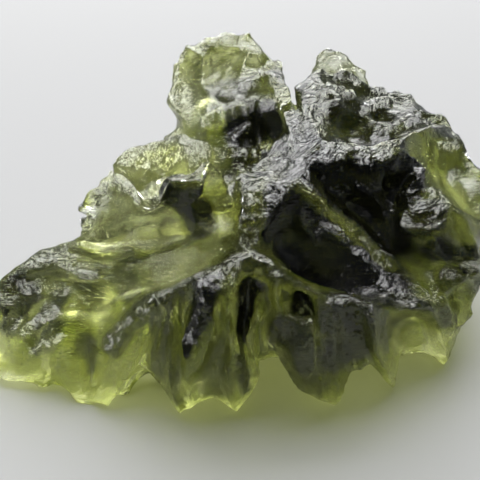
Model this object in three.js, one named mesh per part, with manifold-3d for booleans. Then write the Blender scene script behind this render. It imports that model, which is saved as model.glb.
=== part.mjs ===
// A moldavite of the hedgehog kind: one piece of green natural glass, etched by
// ground acids into deep scoops with thin jagged ridges left standing between them.
//
// The stone is drawn by its ridges. Every lump of it has a heart, a point inside it,
// and a list of ridge lines running over it in millimetres. The ridge points are
// joined into facets round the heart, and each facet between two ridges is then
// pressed in towards the heart, which is how the etching leaves it: hollow faces and
// sharp edges. The lumps are joined into one solid, the underside is hollowed, and
// the lowest tips are ground flat by the ground plane, so the stone stands on them.
//
// Units are millimetres. +X is right, +Y is away from the front fringe, +Z is up.

import * as THREE from 'three';
import { ConvexHull } from 'three/addons/math/ConvexHull.js';
import { mergeVertices } from 'three/addons/utils/BufferGeometryUtils.js';
import Module from 'manifold-3d';

// ---- driving dimensions -------------------------------------------------------------

const RIDGE_STEP = 1.5;        // spacing of points along a ridge
const GULLY_STEP = 2.0;        // spacing of points along the bottom of a gully
const NOTCH_DEPTH = 0.38;      // how far a ridge dips between two of its teeth
const SCOOP_DEPTH = 0.19;      // depth of a facet's hollow, as a share of its width
const FACE_DEPTH = 0.07;       // the same for facets already pressed in once
const DEEPEST_PRESS = 1.3;     // no facet is pressed in further than this
const SPLIT_OVER = 2.5;        // facet edges longer than this are split
const PASSES = 2;              // rounds of splitting and pressing
const GROUND = 0.0;            // height of the ground plane
const BLOCK = 80;              // half size of the block that trims at the ground
const SAME_CORNER = 1e-3;      // corners closer than this are welded

const BODY_COLOUR = '#3f4a14'; // deep bottle green
const BODY_ROUGHNESS = 0.22;

// ---- the lumps ----------------------------------------------------------------------
// heart: the point the lump is closed round; ridges: lines along its sharp edges;
// hollows: the deepest points of its larger scoops.

const FRONT = {
  heart: [0, -3.5, 2.6],
  ridges: {
    brow: [
      [-13.2, -14.2, -0.4], [-12.1, -13.4, 3.0], [-10.8, -12.8, 5.5], [-9.2, -12.3, 8.0],
      [-7.6, -12.2, 9.9], [-5.9, -12.2, 11.6], [-3.5, -12.2, 13.0], [-1.1, -11.8, 14.2],
      [0.5, -11.5, 15.0], [2.1, -12.0, 14.8], [4.2, -12.5, 13.5], [6.3, -12.8, 12.3],
      [8.6, -12.8, 11.7], [10.4, -12.8, 11.0], [12.9, -11.9, 9.6], [14.4, -11.4, 9.4],
      [16.2, -10.5, 8.5],
    ],
    nose: [[0.5, -11.5, 15.0], [0.6, -9.0, 14.7], [0.4, -7.6, 15.7], [0.4, -6.2, 16.7],
      [0.6, -4.6, 17.3], [0.2, -2.0, 16.2]],
    nose_side: [[0.6, -9.0, 14.7], [1.5, -8.0, 15.6], [2.1, -6.2, 16.9], [2.5, -5.0, 17.0]],
    crown: [[0.6, -4.6, 17.2], [2.5, -5.0, 16.9], [3.7, -5.0, 17.4], [4.6, -5.5, 18.1],
      [6.0, -2.5, 17.6]],
    long_ridge: [[4.6, -5.5, 18.1], [6.7, -5.5, 15.8], [8.9, -6.0, 13.8], [10.9, -7.0, 12.2],
      [12.9, -8.5, 10.7], [15.1, -9.5, 9.4], [16.2, -10.5, 8.5]],
    bowl_rib: [[4.6, -5.5, 17.9], [4.9, -6.2, 15.4], [5.9, -7.2, 13.8]],
    right_rise: [[16.2, -10.5, 8.5], [18.4, -8.6, 9.0], [20.2, -7.2, 9.2], [21.8, -6.0, 9.3],
      [23.4, -4.4, 9.4]],
    step: [[-13.4, -5.0, 11.0], [-12.0, -5.8, 10.6], [-10.2, -5.8, 10.9], [-7.9, -6.0, 11.3],
      [-5.7, -6.0, 11.8], [-3.9, -6.0, 12.6], [-1.8, -5.2, 14.0]],
    arm_soft: [[-13.4, -5.0, 11.0], [-12.7, -6.4, 9.9], [-14.5, -8.0, 8.7], [-15.8, -10.0, 7.0],
      [-16.7, -11.5, 4.9], [-18.2, -12.6, -0.2]],
    arm_top: [[-24.0, -6.6, 6.6], [-21.9, -6.0, 8.2], [-19.2, -6.0, 8.9], [-18.7, -3.5, 9.6],
      [-17.2, -3.5, 9.9], [-15.0, -4.0, 11.6], [-13.4, -5.0, 11.0]],
    arm_end: [[-24.0, -6.6, 6.6], [-24.6, -8.6, 4.2], [-23.4, -10.8, 1.8], [-21.8, -11.8, 0.8],
      [-19.6, -12.0, 1.8], [-18.2, -12.6, -0.2], [-16.4, -12.4, 1.8], [-15.0, -13.5, 0.9],
      [-13.2, -14.2, -0.4]],
    arm_rib: [[-21.9, -6.0, 8.2], [-21.6, -8.4, 7.0], [-20.6, -10.6, 4.4], [-19.6, -12.0, 1.8]],
    hidden_back: [[-20.5, -1.5, 3.0], [-14.0, 2.0, 5.0], [-6.0, 4.5, 6.0], [3.0, 6.0, 7.0],
      [12.0, 5.0, 6.5], [20.0, 1.5, 5.5], [23.4, -4.4, 9.4]],
    hidden_foot: [[-23.0, -7.0, 1.2], [-19.0, -2.0, -0.2], [-8.0, 3.0, 1.0], [8.0, 4.0, 1.0],
      [20.0, 0.0, -0.2], [21.0, -4.0, 1.4]],
  },
  gullies: {
    channel: [[-1.4, -9.4, 12.9], [-5.0, -9.8, 11.0], [-7.5, -10.0, 9.8], [-10.2, -10.6, 7.8],
      [-12.8, -11.6, 5.6], [-14.7, -12.8, 2.9]],
    channel_upper: [[-4.2, -7.6, 12.0], [-8.0, -7.8, 10.6], [-11.0, -8.0, 9.2]],
    arm_bowl: [[-19.6, -8.0, 6.4], [-18.4, -9.6, 5.2], [-18.6, -11.2, 3.4]],
    arm_side: [[-22.6, -8.6, 5.0], [-21.8, -10.4, 3.0]],
    bowl_wall: [[3.3, -5.4, 15.3], [4.2, -6.5, 13.4], [2.6, -7.2, 13.4]],
    behind_ridge: [[6.4, -4.0, 14.4], [8.6, -4.6, 12.0], [10.8, -5.4, 10.1], [13.0, -6.8, 8.8],
      [15.0, -8.2, 8.0]],
    bowl: [[2.6, -9.2, 12.4], [3.9, -8.0, 12.0], [6.0, -8.2, 10.7], [8.8, -8.9, 9.5],
      [11.4, -10.0, 8.7], [13.6, -10.6, 8.4]],
    bowl_low: [[3.0, -10.6, 12.8], [6.2, -10.8, 11.0], [9.2, -11.1, 10.0]],
    second_bowl: [[12.4, -4.8, 10.8], [14.8, -6.4, 9.6], [17.4, -7.6, 8.4], [20.0, -5.6, 8.2]],
    behind_curtain: [[-9.6, -11.2, 3.8], [-5.0, -10.4, 6.0], [0.0, -10.0, 7.4], [5.0, -10.4, 6.4],
      [10.0, -10.2, 5.4], [14.0, -8.4, 4.4], [18.0, -7.4, 4.2], [21.0, -5.4, 4.4]],
    behind_hem: [[-10.0, -11.4, 1.6], [-4.0, -10.6, 2.0], [3.0, -10.4, 2.2], [9.0, -10.4, 2.0],
      [15.0, -7.8, 1.6], [20.4, -5.6, 1.6]],
  },
  hollows: [
    [-16.6, -6.4, 8.2],
    [-12.0, -8.0, 1.4], [-4.0, -8.0, 1.6], [5.0, -8.0, 1.6], [13.0, -6.0, 1.4],
    [0.0, -2.0, 1.2], [-12.0, -2.0, 1.4], [14.0, -1.0, 1.4],
  ],
};

// The fringe hangs from the brow down to the ground like a curtain. Each line is one
// fold of it from the top to the hem: ribs stand forward, gullies lie back.
const CURTAIN = [
  [[-12.6, -13.9, 1.6], [-12.8, -14.2, 0.6], [-13.0, -14.3, -0.3]],
  [[-10.8, -12.9, 5.3], [-11.4, -13.8, 2.5], [-11.9, -14.4, -0.3]],
  [[-9.2, -12.4, 7.8], [-10.0, -13.0, 4.6], [-11.2, -13.9, 0.2]],
  [[-7.6, -12.3, 9.7], [-8.0, -13.2, 8.0], [-8.7, -13.7, 5.6], [-9.5, -13.9, 3.2],
    [-10.6, -14.0, 1.0]],
  [[-6.8, -12.2, 10.4], [-7.0, -11.9, 9.0], [-7.8, -11.9, 7.0], [-8.4, -12.2, 5.2],
    [-8.8, -12.6, 4.2]],
  [[-5.9, -12.3, 11.4], [-6.1, -13.2, 10.2], [-6.8, -14.0, 8.2], [-7.4, -14.2, 6.0],
    [-7.4, -13.8, 4.0]],
  [[-5.3, -12.2, 11.8], [-5.7, -12.2, 9.8], [-6.3, -12.8, 7.6], [-6.7, -13.6, 5.2],
    [-6.5, -14.0, 2.0]],
  [[-4.9, -12.4, 12.0], [-5.3, -13.7, 9.8], [-5.6, -14.9, 7.0], [-5.8, -15.3, 4.4],
    [-5.2, -15.2, -0.3]],
  [[-4.2, -12.2, 12.4], [-4.6, -11.6, 10.2], [-4.9, -12.2, 7.8], [-4.8, -13.5, 4.6],
    [-4.7, -14.5, -0.2]],
  [[-3.2, -12.3, 12.9], [-3.5, -12.2, 10.8], [-3.8, -14.0, 8.6], [-4.0, -14.8, 6.6],
    [-4.3, -14.6, 4.4], [-4.3, -14.8, 0.4]],
  [[-2.6, -12.3, 13.2], [-2.8, -12.4, 11.2], [-3.1, -13.0, 9.0], [-3.6, -13.8, 6.6],
    [-4.0, -14.4, 3.6], [-3.9, -14.6, 0.8]],
  [[-1.9, -12.1, 13.6], [-2.1, -14.0, 12.2], [-1.9, -13.9, 10.2], [-2.8, -14.5, 8.4],
    [-3.3, -14.7, 6.4], [-3.6, -15.0, 3.6], [-3.4, -14.8, 1.0]],
  [[-1.1, -12.0, 14.0], [-1.4, -12.8, 12.2], [-1.5, -12.3, 10.2], [-1.7, -12.5, 7.8],
    [-2.3, -13.3, 5.4], [-2.4, -14.0, 1.2]],
  [[-0.4, -11.8, 14.4], [-1.0, -13.6, 12.6], [-1.4, -14.2, 11.0], [-1.1, -14.4, 9.4],
    [-0.5, -14.7, 7.4], [-1.0, -15.0, 4.4], [-0.4, -15.1, -0.3]],
  [[0.0, -11.7, 14.6], [-0.1, -11.8, 12.4], [-0.2, -12.2, 9.8], [0.1, -13.2, 7.2],
    [0.5, -14.4, 4.4], [0.3, -15.0, 0.2]],
  [[0.6, -11.6, 14.8], [0.5, -10.8, 12.4], [0.4, -11.3, 9.8], [0.6, -12.2, 6.8],
    [0.9, -13.2, 4.0], [0.9, -14.0, 1.6]],
  [[1.2, -11.8, 14.8], [1.5, -11.8, 12.8], [1.3, -13.8, 11.0], [0.9, -14.2, 9.0],
    [1.0, -14.1, 6.4], [1.5, -13.4, 4.0]],
  [[2.0, -12.1, 14.6], [2.2, -10.9, 12.4], [2.0, -12.0, 9.6], [1.8, -12.0, 7.4],
    [2.0, -12.4, 5.0]],
  [[2.6, -12.3, 14.2], [2.8, -13.2, 12.0], [3.0, -13.4, 10.2], [2.7, -13.2, 8.6],
    [2.6, -13.0, 6.6]],
  [[3.3, -12.4, 13.8], [3.5, -12.0, 11.8], [3.6, -13.0, 9.8], [3.4, -13.8, 7.6],
    [3.6, -13.4, 4.6]],
  [[4.4, -12.6, 13.2], [4.6, -10.9, 11.6], [4.7, -11.6, 10.4], [4.5, -14.2, 10.6],
    [4.5, -14.9, 8.0], [4.9, -14.8, 5.4], [5.2, -13.8, 1.6]],
  [[5.5, -12.8, 12.5], [5.6, -11.1, 11.0], [5.7, -11.8, 10.2], [5.6, -14.0, 10.6],
    [5.8, -14.8, 8.0], [6.2, -14.7, 5.0], [6.8, -14.0, 0.9]],
  [[6.1, -12.9, 12.2], [6.2, -12.4, 10.8], [6.3, -13.4, 9.4], [6.8, -13.8, 6.0],
    [7.4, -13.8, 2.8], [8.0, -13.9, 0.2]],
  [[6.6, -12.9, 12.0], [6.9, -14.2, 11.0], [7.0, -14.7, 9.2], [7.6, -14.8, 6.0],
    [8.2, -14.5, 2.8], [8.8, -14.0, -0.3]],
  [[7.4, -12.8, 11.8], [7.7, -13.1, 9.6], [8.2, -13.2, 7.4], [8.7, -13.4, 4.8],
    [9.4, -13.5, -0.2]],
  [[8.8, -12.9, 11.4], [9.0, -12.7, 9.4], [9.2, -12.8, 7.4], [9.5, -13.0, 5.4],
    [9.6, -13.1, 3.6]],
  [[9.8, -12.9, 11.0], [9.9, -12.8, 9.2], [10.2, -12.9, 7.4], [10.6, -13.1, 5.6],
    [10.8, -13.1, 4.8]],
  [[10.5, -12.8, 10.8], [10.8, -13.7, 8.9], [11.2, -13.9, 7.0], [12.2, -13.6, 4.4],
    [14.2, -12.2, -0.3]],
  [[11.5, -12.4, 10.1], [11.7, -12.0, 8.6], [12.5, -11.6, 6.6], [13.6, -11.2, 4.2],
    [14.6, -10.8, 0.4]],
  [[12.8, -12.0, 9.5], [13.2, -11.2, 8.8], [13.8, -9.6, 6.6], [14.8, -8.9, 4.0],
    [15.2, -8.8, 0.8]],
  [[14.4, -11.4, 9.2], [14.6, -10.6, 8.6], [15.6, -8.7, 5.8], [16.2, -8.3, 3.4],
    [16.5, -8.2, 0.3]],
  [[15.6, -10.8, 8.7], [16.0, -10.2, 7.8], [17.2, -8.7, 5.2], [17.8, -8.5, 3.0],
    [18.2, -8.4, 0.4]],
  [[16.3, -10.5, 8.4], [17.8, -10.1, 5.2], [19.0, -9.9, 2.2], [19.7, -9.5, -0.3]],
  [[18.4, -8.7, 8.8], [18.8, -8.3, 7.0], [19.3, -8.4, 4.8], [19.8, -8.6, 2.4],
    [20.2, -8.6, 0.9]],
  [[20.2, -7.3, 9.0], [20.4, -7.8, 7.0], [20.7, -8.1, 4.8], [20.9, -7.4, 1.6]],
  [[21.8, -6.1, 9.1], [21.5, -6.2, 7.2], [21.5, -6.4, 5.2], [21.6, -6.0, 1.8]],
  [[23.3, -4.6, 9.2], [22.9, -5.4, 7.2], [22.5, -5.4, 5.4], [22.2, -4.6, 1.8]],
];
const CURTAIN_ROWS = 9;        // rows of facets from the top of the fringe to its hem
const CURTAIN_RISE = 0.35;     // how far its top edge stands over the brow
const CURTAIN_DEPTH = 4.2;     // how far the fringe reaches back into the stone
const CURTAIN_TUCK = 1.6;      // how much lower its hidden top edge lies
const CURTAIN_LEAST_TUCK = 0.8;        // and the least that any of it lies below the top
const CURTAIN_LIFT = 2.4;      // how much higher its hidden bottom edge lies

// The back of the stone has a skirt of the same kind. Only its top and foot lines are
// given, from the left end round the back to the right end; its folds follow a rule.
const SKIRT_TOP = [
  [-21.6, -3.6, 5.4], [-17.4, -1.8, 7.2], [-14.6, 1.6, 9.4], [-13.6, 5.2, 11.2],
  [-11.4, 9.4, 11.6], [-10.0, 13.8, 12.4], [-9.6, 18.0, 13.8], [-8.0, 22.4, 18.0],
  [-3.4, 23.6, 19.0], [1.4, 23.4, 18.8], [5.4, 21.4, 15.0], [8.2, 24.4, 11.4],
  [10.4, 28.2, 14.6], [14.0, 28.4, 15.0], [18.0, 25.4, 11.4], [19.4, 19.6, 12.6],
  [21.4, 15.0, 13.4], [23.4, 10.4, 13.6], [24.4, 5.0, 12.4], [24.4, 0.4, 10.4],
];
const SKIRT_FOOT = [
  [-21.4, -4.6, 1.4], [-19.0, -1.6, -0.3], [-16.6, 2.6, 1.6], [-15.0, 6.4, 0.8],
  [-13.6, 10.6, 1.8], [-13.0, 14.8, -0.3], [-12.2, 18.8, 1.6], [-9.4, 24.0, 1.6],
  [-4.0, 26.4, -0.3], [2.0, 26.0, 1.6], [5.8, 23.8, 2.4], [7.4, 26.4, 1.4],
  [10.6, 29.4, -0.3], [15.0, 29.0, 1.4], [18.8, 26.2, 1.8], [20.4, 20.8, -0.3],
  [22.8, 16.0, 1.8], [24.4, 11.0, 0.8], [24.6, 5.6, 1.6], [23.4, 0.6, 1.4],
];
const SKIRT_FOLDS = 2;         // folds between two neighbouring points of these lines
const SKIRT_SWELL = 0.8;       // how far the ribs of the skirt stand out
const SKIRT_SINK = 1.8;        // how far its gullies lie in
const SKIRT_ROWS = 5;          // rows of facets from its top to its foot
const SKIRT_MIDDLE = [2.0, 7.0, 8.0];  // the skirt's hidden side is drawn in towards here
const SKIRT_DRAWN_IN = 0.3;    // how far, as a share of the way
const SKIRT_WAIST = [0.3, 0.65];       // the bends of a fold, as shares of its length
const SKIRT_WANDER = 0.14;     // how unevenly those bends lie
const SKIRT_TOP_SHARE = 0.25;  // how much of its swell a fold has at its top
const SKIRT_LEAST = 0.6;       // the least and the further share it may have at a bend
const SKIRT_MORE = 0.7;
const SKIRT_FOOT_SHARE = 0.5;  // and at its foot
const SKIRT_HEM = 1.6;         // how far a gully may end above the foot line

const FIN = {
  heart: [-8.2, -2.7, 12.4],
  ridges: {
    near_crest: [[-2.3, -4.5, 19.1], [-4.1, -4.9, 18.2], [-5.7, -5.3, 18.2], [-6.7, -5.1, 16.7],
      [-7.9, -5.1, 15.9], [-9.2, -5.1, 16.4], [-10.5, -5.2, 16.3], [-12.2, -5.1, 17.0]],
    far_crest: [[-12.2, -5.1, 17.0], [-10.9, -3.4, 18.2], [-9.1, -3.0, 16.7], [-7.9, -3.6, 15.2],
      [-6.9, -4.0, 15.2], [-5.9, -4.2, 16.8], [-4.1, -4.2, 17.4], [-2.3, -4.5, 19.1]],
    left_edge: [[-12.2, -5.1, 17.0], [-13.4, -5.0, 15.5], [-14.0, -4.8, 13.8], [-15.0, -4.0, 11.4],
      [-15.6, -3.6, 8.0]],
    right_edge: [[-2.3, -4.5, 19.1], [-2.8, -5.1, 17.5], [-3.1, -5.5, 16.1], [-3.6, -6.0, 13.8],
      [-3.9, -6.4, 11.0]],
    right_back: [[-2.3, -4.5, 19.1], [-1.2, -2.6, 17.0], [-0.4, -1.0, 14.0]],
    foot_near: [[-15.6, -4.4, 8.0], [-12.0, -6.2, 8.0], [-8.0, -6.4, 8.4], [-3.9, -6.6, 9.0],
      [-1.0, -4.0, 9.0]],
    foot_far: [[-15.6, -3.0, 8.0], [-12.0, 0.4, 7.0], [-7.0, 1.4, 7.0], [-1.0, 0.6, 8.0]],
  },
  hollows: [
    [-9.8, -4.0, 13.2], [-7.2, -4.0, 13.3], [-5.2, -4.0, 15.0], [-12.3, -4.3, 14.0],
    [-5.6, -4.4, 12.8], [-9.0, -4.3, 11.8], [-9.6, -1.6, 13.6], [-6.6, -1.6, 13.2],
    [-3.8, -2.4, 14.6], [-1.8, -3.4, 13.8],
  ],
};

const MIDDLE = {
  heart: [9.5, 1.5, 8.0],
  ridges: {
    block_top: [[4.6, -5.5, 18.0], [6.5, -2.0, 18.1], [8.7, -1.0, 19.2], [9.4, -2.0, 18.9],
      [11.1, -2.2, 18.6], [13.5, -1.0, 18.8], [14.1, -2.0, 17.7], [14.9, -3.0, 16.0],
      [15.9, -4.0, 15.8], [17.6, -4.5, 15.4], [19.3, -4.2, 14.3], [21.7, -3.6, 12.3]],
    block_left: [[6.5, -2.0, 18.1], [6.9, -3.2, 16.6], [8.2, -3.8, 15.0]],
    block_rib: [[9.4, -2.0, 18.9], [9.9, -3.3, 17.0], [11.0, -4.3, 15.1], [12.0, -4.8, 13.4]],
    plate: [[14.2, -5.0, 14.3], [16.8, -6.8, 13.2], [17.6, -4.5, 15.4]],
    plate_foot: [[16.8, -6.8, 13.2], [18.6, -7.2, 10.6], [20.0, -7.2, 9.4]],
    block_side: [[14.9, -3.0, 16.0], [14.2, -5.0, 14.3], [12.8, -5.0, 12.0], [11.0, -4.8, 10.6]],
    wing: [[13.5, -1.0, 18.8], [14.9, 2.0, 18.0], [16.6, 4.0, 18.1], [18.7, 6.0, 17.6],
      [21.7, 9.0, 16.4]],
    wing_rim: [[21.7, 9.0, 16.4], [22.9, 6.6, 15.5], [24.2, 3.6, 13.7], [24.9, 0.6, 12.0],
      [24.3, -2.2, 11.0], [21.7, -3.6, 12.3]],
    wing_edge: [[24.9, 0.6, 12.0], [24.2, 1.6, 7.0], [21.0, 2.0, 1.5]],
    blade: [[5.4, 9.0, 17.8], [5.6, 6.0, 17.1], [5.7, 1.0, 17.0], [6.5, -2.0, 18.1]],
    blade_two: [[6.7, 10.0, 18.5], [6.6, 6.0, 17.9], [7.4, 2.0, 18.3], [8.7, -1.0, 19.2]],
    saddle: [[0.6, -2.0, 16.4], [0.8, 2.0, 14.6], [2.2, 6.0, 14.4], [5.4, 9.0, 17.8]],
    back_edge: [[5.4, 9.0, 17.8], [6.7, 10.0, 18.5], [9.6, 9.4, 19.0], [13.0, 9.6, 17.6],
      [17.0, 10.4, 16.6], [21.7, 9.0, 16.4]],
    low_front: [[0.0, -4.0, 10.0], [6.0, -4.4, 9.0], [12.0, -4.8, 7.0], [18.0, -5.2, 7.6],
      [22.0, -4.0, 8.0]],
    low_back: [[0.0, 4.0, 5.0], [4.0, 10.0, 4.0], [12.0, 11.0, 3.0], [20.0, 8.0, 4.0],
      [21.0, 2.0, 1.5]],
    low_ring: [[2.0, -3.6, 4.0], [10.0, -4.0, 2.0], [17.0, -3.0, 1.0], [21.0, 2.0, 1.5]],
  },
  hollows: [
    [12.9, -3.3, 15.0], [10.6, -3.4, 15.4], [8.3, -3.0, 16.6], [7.4, -3.3, 14.8],
    [9.6, -3.8, 13.2], [19.6, 2.6, 13.9],
    [17.4, 0.4, 14.8], [21.6, 4.4, 12.8], [21.6, 0.2, 11.6], [9.8, 3.6, 15.8],
    [12.6, 4.6, 15.6], [15.2, 6.8, 15.4], [10.4, 7.0, 16.4], [3.0, 0.0, 14.6],
    [4.0, 4.0, 14.4], [18.6, -3.4, 12.8], [16.2, -5.0, 12.2], [20.4, -4.6, 10.4],
    [24.0, 0.0, 8.4],
  ],
};

const LEFT_LOBE = {
  splitOver: 4.2,
  heart: [-7.6, 5.0, 8.0],
  ridges: {
    crest: [[-12.6, 0.2, 13.4], [-11.9, 1.0, 16.0], [-11.0, 2.0, 17.0], [-9.4, 3.0, 17.3],
      [-7.3, 5.0, 17.3], [-5.6, 7.0, 16.4], [-3.6, 8.0, 15.0], [-1.6, 9.6, 12.6]],
    near_side: [[-9.4, 3.0, 17.3], [-8.8, 1.2, 14.6], [-8.0, -0.8, 11.0]],
    near_two: [[-5.6, 7.0, 16.4], [-4.2, 4.4, 14.4], [-3.0, 1.4, 12.0], [-1.0, -1.0, 9.4]],
    far_one: [[-11.0, 2.0, 17.0], [-13.2, 5.0, 12.6], [-14.2, 7.0, 7.0], [-13.6, 8.2, -0.3]],
    far_two: [[-7.3, 5.0, 17.3], [-8.6, 8.4, 13.4], [-9.6, 10.8, 8.0], [-9.0, 12.4, 3.0]],
    left_down: [[-12.6, 0.2, 13.4], [-14.6, -0.6, 9.0], [-16.4, 0.0, 4.0]],
    base: [[-16.4, 0.0, 4.0], [-15.4, 4.0, 2.0], [-13.6, 8.2, -0.3], [-9.0, 12.4, 3.0],
      [-3.0, 13.0, 4.0], [0.0, 8.0, 4.0], [0.0, 2.0, 4.0], [-6.0, -3.0, 4.0],
      [-12.0, -3.0, 4.0], [-16.4, 0.0, 4.0]],
  },
  hollows: [[-10.2, 0.9, 14.0], [-7.4, 2.6, 14.6], [-5.6, 3.2, 13.6], [-10.2, 6.6, 12.2],
    [-6.4, 9.6, 11.4], [-12.4, 3.0, 10.4], [-8.0, 5.0, 2.4]],
};

const BACK_LOBE = {
  splitOver: 4.2,
  heart: [-2.4, 16.6, 9.0],
  ridges: {
    crown: [[-6.3, 12.0, 13.8], [-7.4, 14.0, 14.6], [-8.3, 16.0, 15.4], [-8.4, 18.0, 15.9],
      [-7.6, 20.0, 17.6], [-7.0, 21.6, 20.6], [-5.4, 22.0, 20.2], [-4.1, 22.0, 21.3],
      [-1.7, 22.2, 22.0], [1.2, 22.0, 21.8], [3.5, 21.0, 19.4], [4.8, 17.0, 20.2],
      [5.3, 12.0, 18.2], [5.4, 9.0, 17.4]],
    bar: [[-6.3, 12.0, 13.8], [-3.7, 11.0, 16.1], [0.0, 11.0, 16.7], [3.2, 12.0, 17.4],
      [5.3, 12.0, 18.2]],
    bar_two: [[-3.4, 14.4, 16.8], [0.0, 14.0, 17.7], [3.5, 15.0, 18.9], [4.8, 17.0, 20.2]],
    rise: [[-3.4, 14.4, 16.8], [-4.6, 17.4, 18.0], [-4.1, 22.0, 21.3]],
    rise_two: [[-0.2, 14.0, 17.7], [0.4, 18.0, 19.8], [1.2, 22.0, 21.8]],
    front_one: [[-3.7, 11.0, 16.1], [-3.4, 8.4, 13.4], [-3.0, 6.0, 10.0]],
    front_two: [[0.0, 11.0, 16.7], [0.4, 8.4, 14.2], [0.6, 5.0, 11.0]],
    back_one: [[-7.0, 21.6, 20.6], [-8.6, 23.6, 14.0], [-9.0, 24.4, 8.0], [-7.6, 24.0, -0.3]],
    back_two: [[-1.7, 22.2, 22.0], [-2.4, 25.2, 15.6], [-1.6, 26.4, 9.0], [-1.8, 25.6, 3.4]],
    back_three: [[3.5, 21.0, 19.4], [4.8, 24.0, 13.0], [5.4, 24.4, 6.0], [4.6, 23.6, 2.6]],
    left_one: [[-8.4, 18.0, 15.9], [-11.2, 18.2, 10.4], [-12.2, 17.6, 5.0], [-11.6, 16.8, 2.6]],
    foot: [[-7.6, 24.0, -0.3], [-11.6, 16.8, 2.6], [-10.0, 11.0, 3.0], [-3.0, 7.0, 4.0],
      [5.0, 8.0, 4.0], [8.0, 16.0, 4.0], [4.6, 23.6, 2.6], [-1.8, 25.6, 3.4],
      [-7.6, 24.0, -0.3]],
  },
  hollows: [[-1.4, 18.4, 17.8], [-5.6, 18.2, 16.0], [-5.0, 15.6, 15.4], [2.6, 18.0, 17.6],
    [-1.6, 12.4, 15.6], [2.0, 13.2, 16.2], [-5.0, 24.2, 12.0], [1.6, 24.2, 11.4],
    [-10.2, 20.8, 9.4], [-1.6, 8.8, 13.2], [2.8, 9.6, 13.6], [-9.6, 14.4, 9.8],
    [-2.0, 16.0, 2.6]],
};

const BACK_RIGHT = {
  splitOver: 4.2,
  heart: [14.2, 11.4, 9.0],
  ridges: {
    top: [[5.6, 13.6, 18.6], [8.9, 15.0, 20.3], [10.1, 15.0, 19.2], [11.4, 15.0, 19.6],
      [13.0, 15.0, 18.4], [16.1, 15.0, 17.6], [18.8, 14.0, 17.7], [20.6, 12.0, 16.3],
      [21.7, 10.0, 16.6], [22.9, 7.0, 15.5]],
    rim: [[8.4, 11.4, 18.6], [8.7, 10.0, 19.4], [11.2, 10.0, 19.4], [11.9, 8.5, 18.3],
      [13.4, 5.6, 16.6]],
    blade_two: [[8.9, 15.0, 20.3], [7.8, 12.6, 18.9], [6.7, 10.0, 18.5], [6.8, 6.0, 17.0]],
    cross: [[16.1, 15.0, 17.6], [15.4, 11.8, 17.4], [13.6, 9.6, 17.4], [11.9, 8.5, 18.3]],
    cross_two: [[18.8, 14.0, 17.7], [18.4, 10.4, 16.8], [18.0, 7.4, 16.4], [17.6, 4.6, 15.0]],
    back_one: [[8.9, 15.0, 20.3], [8.6, 18.6, 14.6], [8.4, 21.4, 8.0], [8.6, 22.0, 3.6]],
    back_two: [[13.0, 15.0, 18.4], [14.0, 19.0, 12.6], [14.6, 21.0, 6.0], [14.2, 21.4, 2.8]],
    back_three: [[18.8, 14.0, 17.7], [20.4, 16.8, 11.4], [20.6, 17.6, 5.4], [19.4, 17.4, -0.3]],
    side_one: [[21.7, 10.0, 16.6], [24.2, 11.6, 10.0], [24.4, 11.6, 5.6], [22.6, 11.0, 2.4]],
    side_two: [[22.9, 7.0, 15.5], [24.8, 5.6, 10.6], [24.0, 4.6, 6.0], [22.4, 4.4, 2.6]],
    foot: [[8.6, 22.0, 3.6], [14.2, 21.4, 2.8], [19.4, 17.4, -0.3], [22.6, 11.0, 2.4],
      [22.4, 4.4, 2.6], [14.0, 2.0, 4.0], [6.0, 6.0, 4.0], [4.0, 14.0, 4.0],
      [8.6, 22.0, 3.6]],
  },
  hollows: [[10.4, 12.6, 17.0], [13.2, 12.6, 16.0], [16.8, 12.6, 15.8], [19.8, 9.6, 14.8],
    [15.6, 8.6, 15.6], [11.4, 17.8, 13.8], [17.0, 17.6, 12.0], [22.8, 13.2, 10.8],
    [24.0, 8.4, 9.8], [14.0, 12.0, 2.4], [7.8, 8.6, 16.0]],
};

const FAR_LOBE = {
  splitOver: 4.2,
  heart: [12.6, 23.4, 9.0],
  ridges: {
    crest: [[8.4, 25.4, 11.0], [9.2, 27.6, 14.4], [9.9, 28.0, 17.0], [11.3, 28.0, 18.3],
      [13.7, 28.0, 17.4], [16.5, 27.0, 15.4], [18.4, 25.0, 12.0]],
    back_one: [[11.3, 28.0, 18.2], [11.6, 29.6, 12.4], [11.0, 29.4, 6.6], [11.8, 28.4, -0.3]],
    back_two: [[16.5, 27.0, 15.2], [18.2, 27.6, 9.4], [17.4, 27.0, 3.2]],
    front_one: [[9.9, 28.0, 17.0], [9.6, 24.0, 14.0], [9.0, 20.0, 11.0]],
    front_two: [[13.7, 28.0, 17.1], [13.6, 24.0, 14.4], [13.4, 20.0, 11.6]],
    left_one: [[9.2, 27.6, 14.4], [7.4, 27.2, 8.0], [7.2, 26.4, 3.0]],
    right_one: [[18.4, 25.0, 12.0], [18.8, 22.0, 7.0], [18.0, 19.6, 3.0]],
    foot: [[7.2, 26.4, 3.0], [11.8, 28.4, -0.3], [17.4, 27.0, 3.2], [18.0, 19.6, 3.0],
      [13.0, 16.0, 4.0], [7.0, 18.0, 4.0], [7.2, 26.4, 3.0]],
  },
  hollows: [[11.6, 25.0, 14.4], [15.6, 24.4, 12.0], [8.6, 23.0, 11.0], [9.4, 28.0, 9.0],
    [14.6, 27.6, 9.4], [17.8, 24.6, 6.0], [12.6, 22.0, 2.4]],
};

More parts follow.
